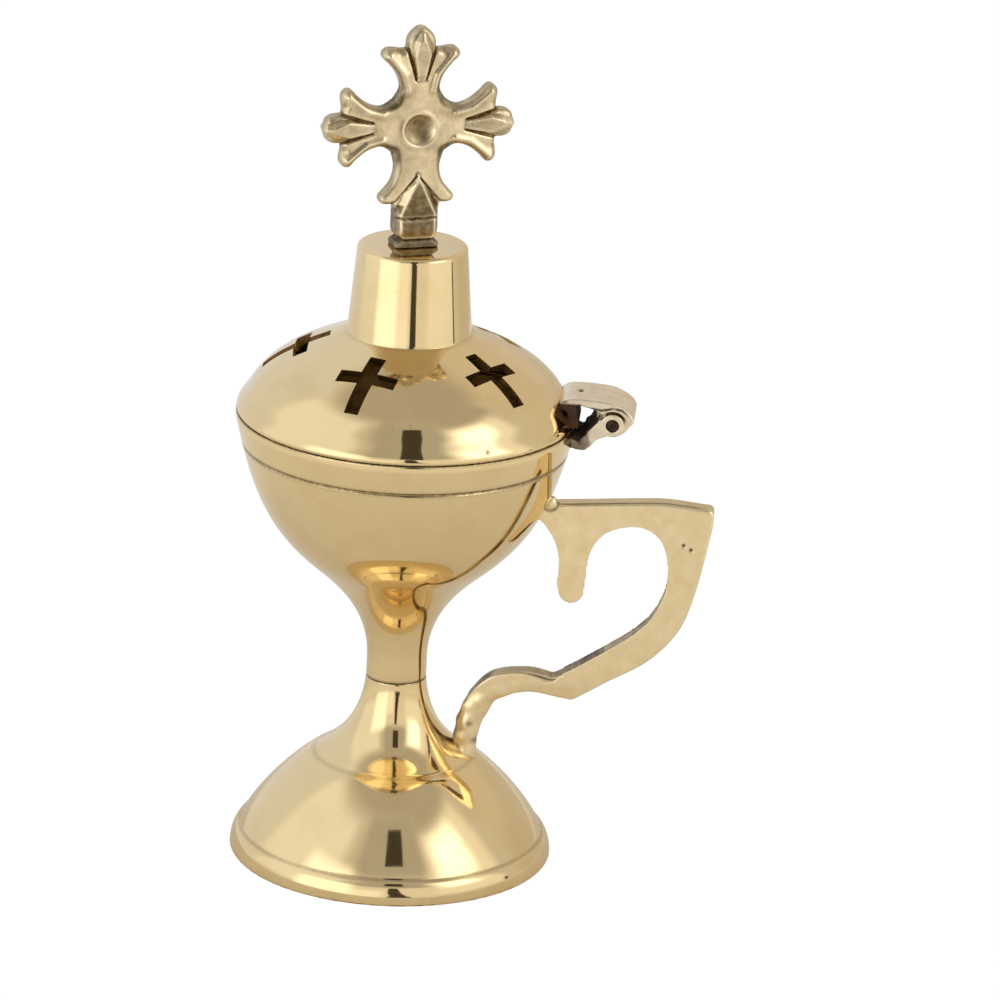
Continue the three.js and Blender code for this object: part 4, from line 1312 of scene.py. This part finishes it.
def tent_light(azimuth, elevation):
    """The light of the tent's cloth in each direction: bright at the sides and the front, darker overhead
    and at the back, with a lamp behind the cloth on the left and a stronger one on the right."""
    light = np.tile(np.array((0.66, 0.65, 0.64)), (len(azimuth), 1))
    panels = (
        (panel(azimuth, elevation, (-175, -104), (-90, 60), (14, 16)), (0.75, 0.78, 0.84)),
        (panel(azimuth, elevation, (108, 178), (-90, 14), (20, 16)), (0.60, 0.56, 0.50)),
        (panel(azimuth, elevation, (108, 178), (14, 66), (20, 16)), (0.67, 0.62, 0.56)),
        (panel(azimuth, elevation, (-104, -36), (-9, 55), (14, 12)), (0.93, 0.96, 1.0)),
        (panel(azimuth, elevation, (-28, 38), (-12, 23), (12, 10)), (0.84, 0.83, 0.80)),
        (panel(azimuth, elevation, (-34, 0), (-16, 9), (8, 8)), (1.08, 1.09, 1.08)),
        (panel(azimuth, elevation, (-62, -22), (-14, 28), (12, 12)), (1.42, 1.48, 1.52)),
        (panel(azimuth, elevation, (36, 92), (-9, 50), (12, 12)), (0.98, 0.98, 0.97)),
        (panel(azimuth, elevation, (46, 76), (14, 46), (14, 14)), (2.0, 2.02, 2.05)),
        (panel(azimuth, elevation, (-24, 36), (25, 64), (14, 10)), (0.47, 0.47, 0.46)),
        (panel(azimuth, elevation, (36, 104), (53, 90), (14, 10)), (0.47, 0.46, 0.43)),
        (panel(azimuth, elevation, (-200, 200), (62, 110), (2, 12)), (0.48, 0.46, 0.44)),
    )
    for share, colour in panels:
        light = light + share * (np.array(colour) - light)
    return light


def tent_part(name, mesh, material):
    """A part of the tent round the turned axis, hidden from the camera and without a shadow."""
    piece = object_from(name, mesh, (material,))
    piece.location = (AXIS_X, 0, 0)
    piece.visible_camera = False
    piece.visible_shadow = False
    return piece


def make_tent():
    """A white cloth tent round the censer, lit softly through the cloth."""
    azimuths = np.linspace(-180, 180, TENT_STEPS, endpoint=False)
    points, faces = [], []
    for row in range(TENT_ROWS + 1):
        t = math.pi / 2 * row / TENT_ROWS
        radius = TENT_RADIUS * max(math.cos(t), 1e-4) ** (2 / 3)
        height = TENT_HEIGHT * math.sin(t) ** (2 / 3)
        points += [(radius * math.sin(math.radians(a)), -radius * math.cos(math.radians(a)), height)
                   for a in azimuths]
    for row in range(TENT_ROWS):
        for k in range(TENT_STEPS):
            n = (k + 1) % TENT_STEPS
            a, b = row * TENT_STEPS + k, row * TENT_STEPS + n
            faces.append((a, a + TENT_STEPS, b + TENT_STEPS, b))
    points = np.array(points)
    mesh = mesh_from("cloth_tent", points * MM, faces)
    azimuth = np.degrees(np.arctan2(points[:, 0], -points[:, 1]))
    elevation = np.degrees(np.arctan2(points[:, 2] - CENTRE_HEIGHT, np.hypot(points[:, 0], points[:, 1])))
    glow = np.ones((len(points), 4), np.float32)
    glow[:, :3] = tent_light(azimuth, elevation)
    layer = mesh.color_attributes.new("glow", "FLOAT_COLOR", "POINT")
    layer.data.foreach_set("color", glow.ravel())
    material = new_material("lit_cloth")
    colour = add(material, "Attribute", attribute_name="glow").outputs["Color"]
    add(material, "OutputMaterial", add(material, "Emission", colour, Strength=1.0))
    material.cycles.emission_sampling = "NONE"
    tent = tent_part("cloth_tent", mesh, material)


def make_slit():
    """The dark openings in the tent's front, one above the other, through which the picture is taken, and
    a dark seam of the cloth on the right. Their edges are given as azimuths at a height and a radius."""
    openings = (
        ((392, 0.5, 3, 20), (392, 12, 3.5, 20), (392, 30, 5, 16.5), (392, 100, 3.8, 13), (392, 235, 4.5, 11)),
        ((200, 165, 1, 16), (235, 400, 1.5, 18)),
        ((395, 14, 91, 94), (395, 60, 91, 93.8)),
    )
    points, faces = [], []
    for opening in openings:
        for k, (radius, height, *sides) in enumerate(opening):
            if k:
                n = len(points)
                faces.append((n - 2, n - 1, n + 1, n))
            for side in sides:
                a = math.radians(side)
                points.append((radius * math.sin(a), -radius * math.cos(a), height))
    material = new_material("dark_opening")
    add(material, "OutputMaterial", add(material, "Emission", "#47423a", Strength=1.0))
    material.cycles.emission_sampling = "NONE"
    slit = tent_part("tent_slit", mesh_from("tent_slit", np.array(points) * MM, faces), material)
    slit.visible_diffuse = False


def make_floor():
    """A plain pale floor. To the camera it is white, apart from a trace of the censer's shadow, and the
    metal sees more of that white the further off the floor lies."""
    material = new_material("pale_floor")
    cloth = add(material, "BsdfDiffuse", "#e9e6e0")
    white = add(material, "Emission", "#ffffff", Strength=1.06)
    rays = add(material, "LightPath")
    here = add(material, "TexCoord").outputs["Object"]
    reach = add(material, "VectorMath", here, operation="LENGTH").outputs["Value"]
    far = add(material, "MapRange", reach, 0.05, 0.25, 0.0, 0.35, interpolation_type="SMOOTHSTEP")
    metal = add(material, "Math", rays.outputs["Is Glossy Ray"], far, operation="MULTIPLY")
    seen = add(material, "Math", rays.outputs["Is Camera Ray"], 0.94, operation="MULTIPLY")
    share = add(material, "Math", seen, metal, operation="MAXIMUM")
    share = add(material, "Math", share, rays.outputs["Is Transmission Ray"], operation="MAXIMUM")
    add(material, "OutputMaterial", add(material, "MixShader", share, cloth, white))
    points = [(x * MM, y * MM, 0) for x, y in arc((0, 0), FLOOR_REACH, 0, 360, 64)[:-1]]
    floor = object_from("pale_floor", mesh_from("pale_floor", points, [range(64)]), (material,))
    floor.location = (AXIS_X, 0, -FLOOR_DROP * MM)


def make_world():
    """White to the camera, and to metal and glass where they see past the tent."""
    world = bpy.data.worlds.new("white_room")
    bpy.context.scene.world = world
    world.use_nodes = True
    world.node_tree.nodes.clear()
    rays = add(world, "LightPath")
    seen = add(world, "Math", rays.outputs["Is Camera Ray"], rays.outputs["Is Glossy Ray"],
               operation="MAXIMUM")
    seen = add(world, "Math", seen, rays.outputs["Is Transmission Ray"], operation="MAXIMUM")
    strength = add(world, "Math", seen, 0.4, 0.6, operation="MULTIPLY_ADD")
    add(world, "OutputWorld", add(world, "Background", "#ffffff", strength))


# The camera: its place, how far it tilts and where it looks, as the photograph was taken
CAMERA_PLACE = (78.20, -1305.98, 529.18)
CAMERA_AZIMUTH = 3.2
CAMERA_DROP = 19.147
CAMERA_ROLL = 2.51
LENS = 252
SENSOR = 36
VIEW_END = 20


def make_camera():
    data = bpy.data.cameras.new("camera")
    data.lens = LENS
    data.sensor_width = SENSOR
    data.clip_end = VIEW_END
    camera = object_from("camera", data)
    a, e, r = (math.radians(v) for v in (CAMERA_AZIMUTH, CAMERA_DROP, CAMERA_ROLL))
    forward = Vector((-math.sin(a) * math.cos(e), math.cos(a) * math.cos(e), -math.sin(e)))
    right = forward.cross(Vector((0, 0, 1))).normalized()
    up = right.cross(forward)
    right, up = math.cos(r) * right + math.sin(r) * up, math.cos(r) * up - math.sin(r) * right
    rows = [[right[k], up[k], -forward[k], CAMERA_PLACE[k] * MM] for k in range(3)]
    camera.matrix_world = Matrix(rows + [[0, 0, 0, 1]])
    bpy.context.scene.camera = camera


def main():
    materials = make_materials()
    make_foot(materials)
    make_bowl(materials)
    make_charcoal_cup(materials)
    make_lid(materials)
    make_bowl_hinge_leaf(materials)
    make_lid_hinge_leaf(materials)
    make_handle(materials)
    make_finial(materials)
    dress_fasteners(materials)
    make_tent()
    make_slit()
    make_floor()
    make_world()
    make_camera()
    bpy.context.scene.view_settings.view_transform = "Standard"


main()
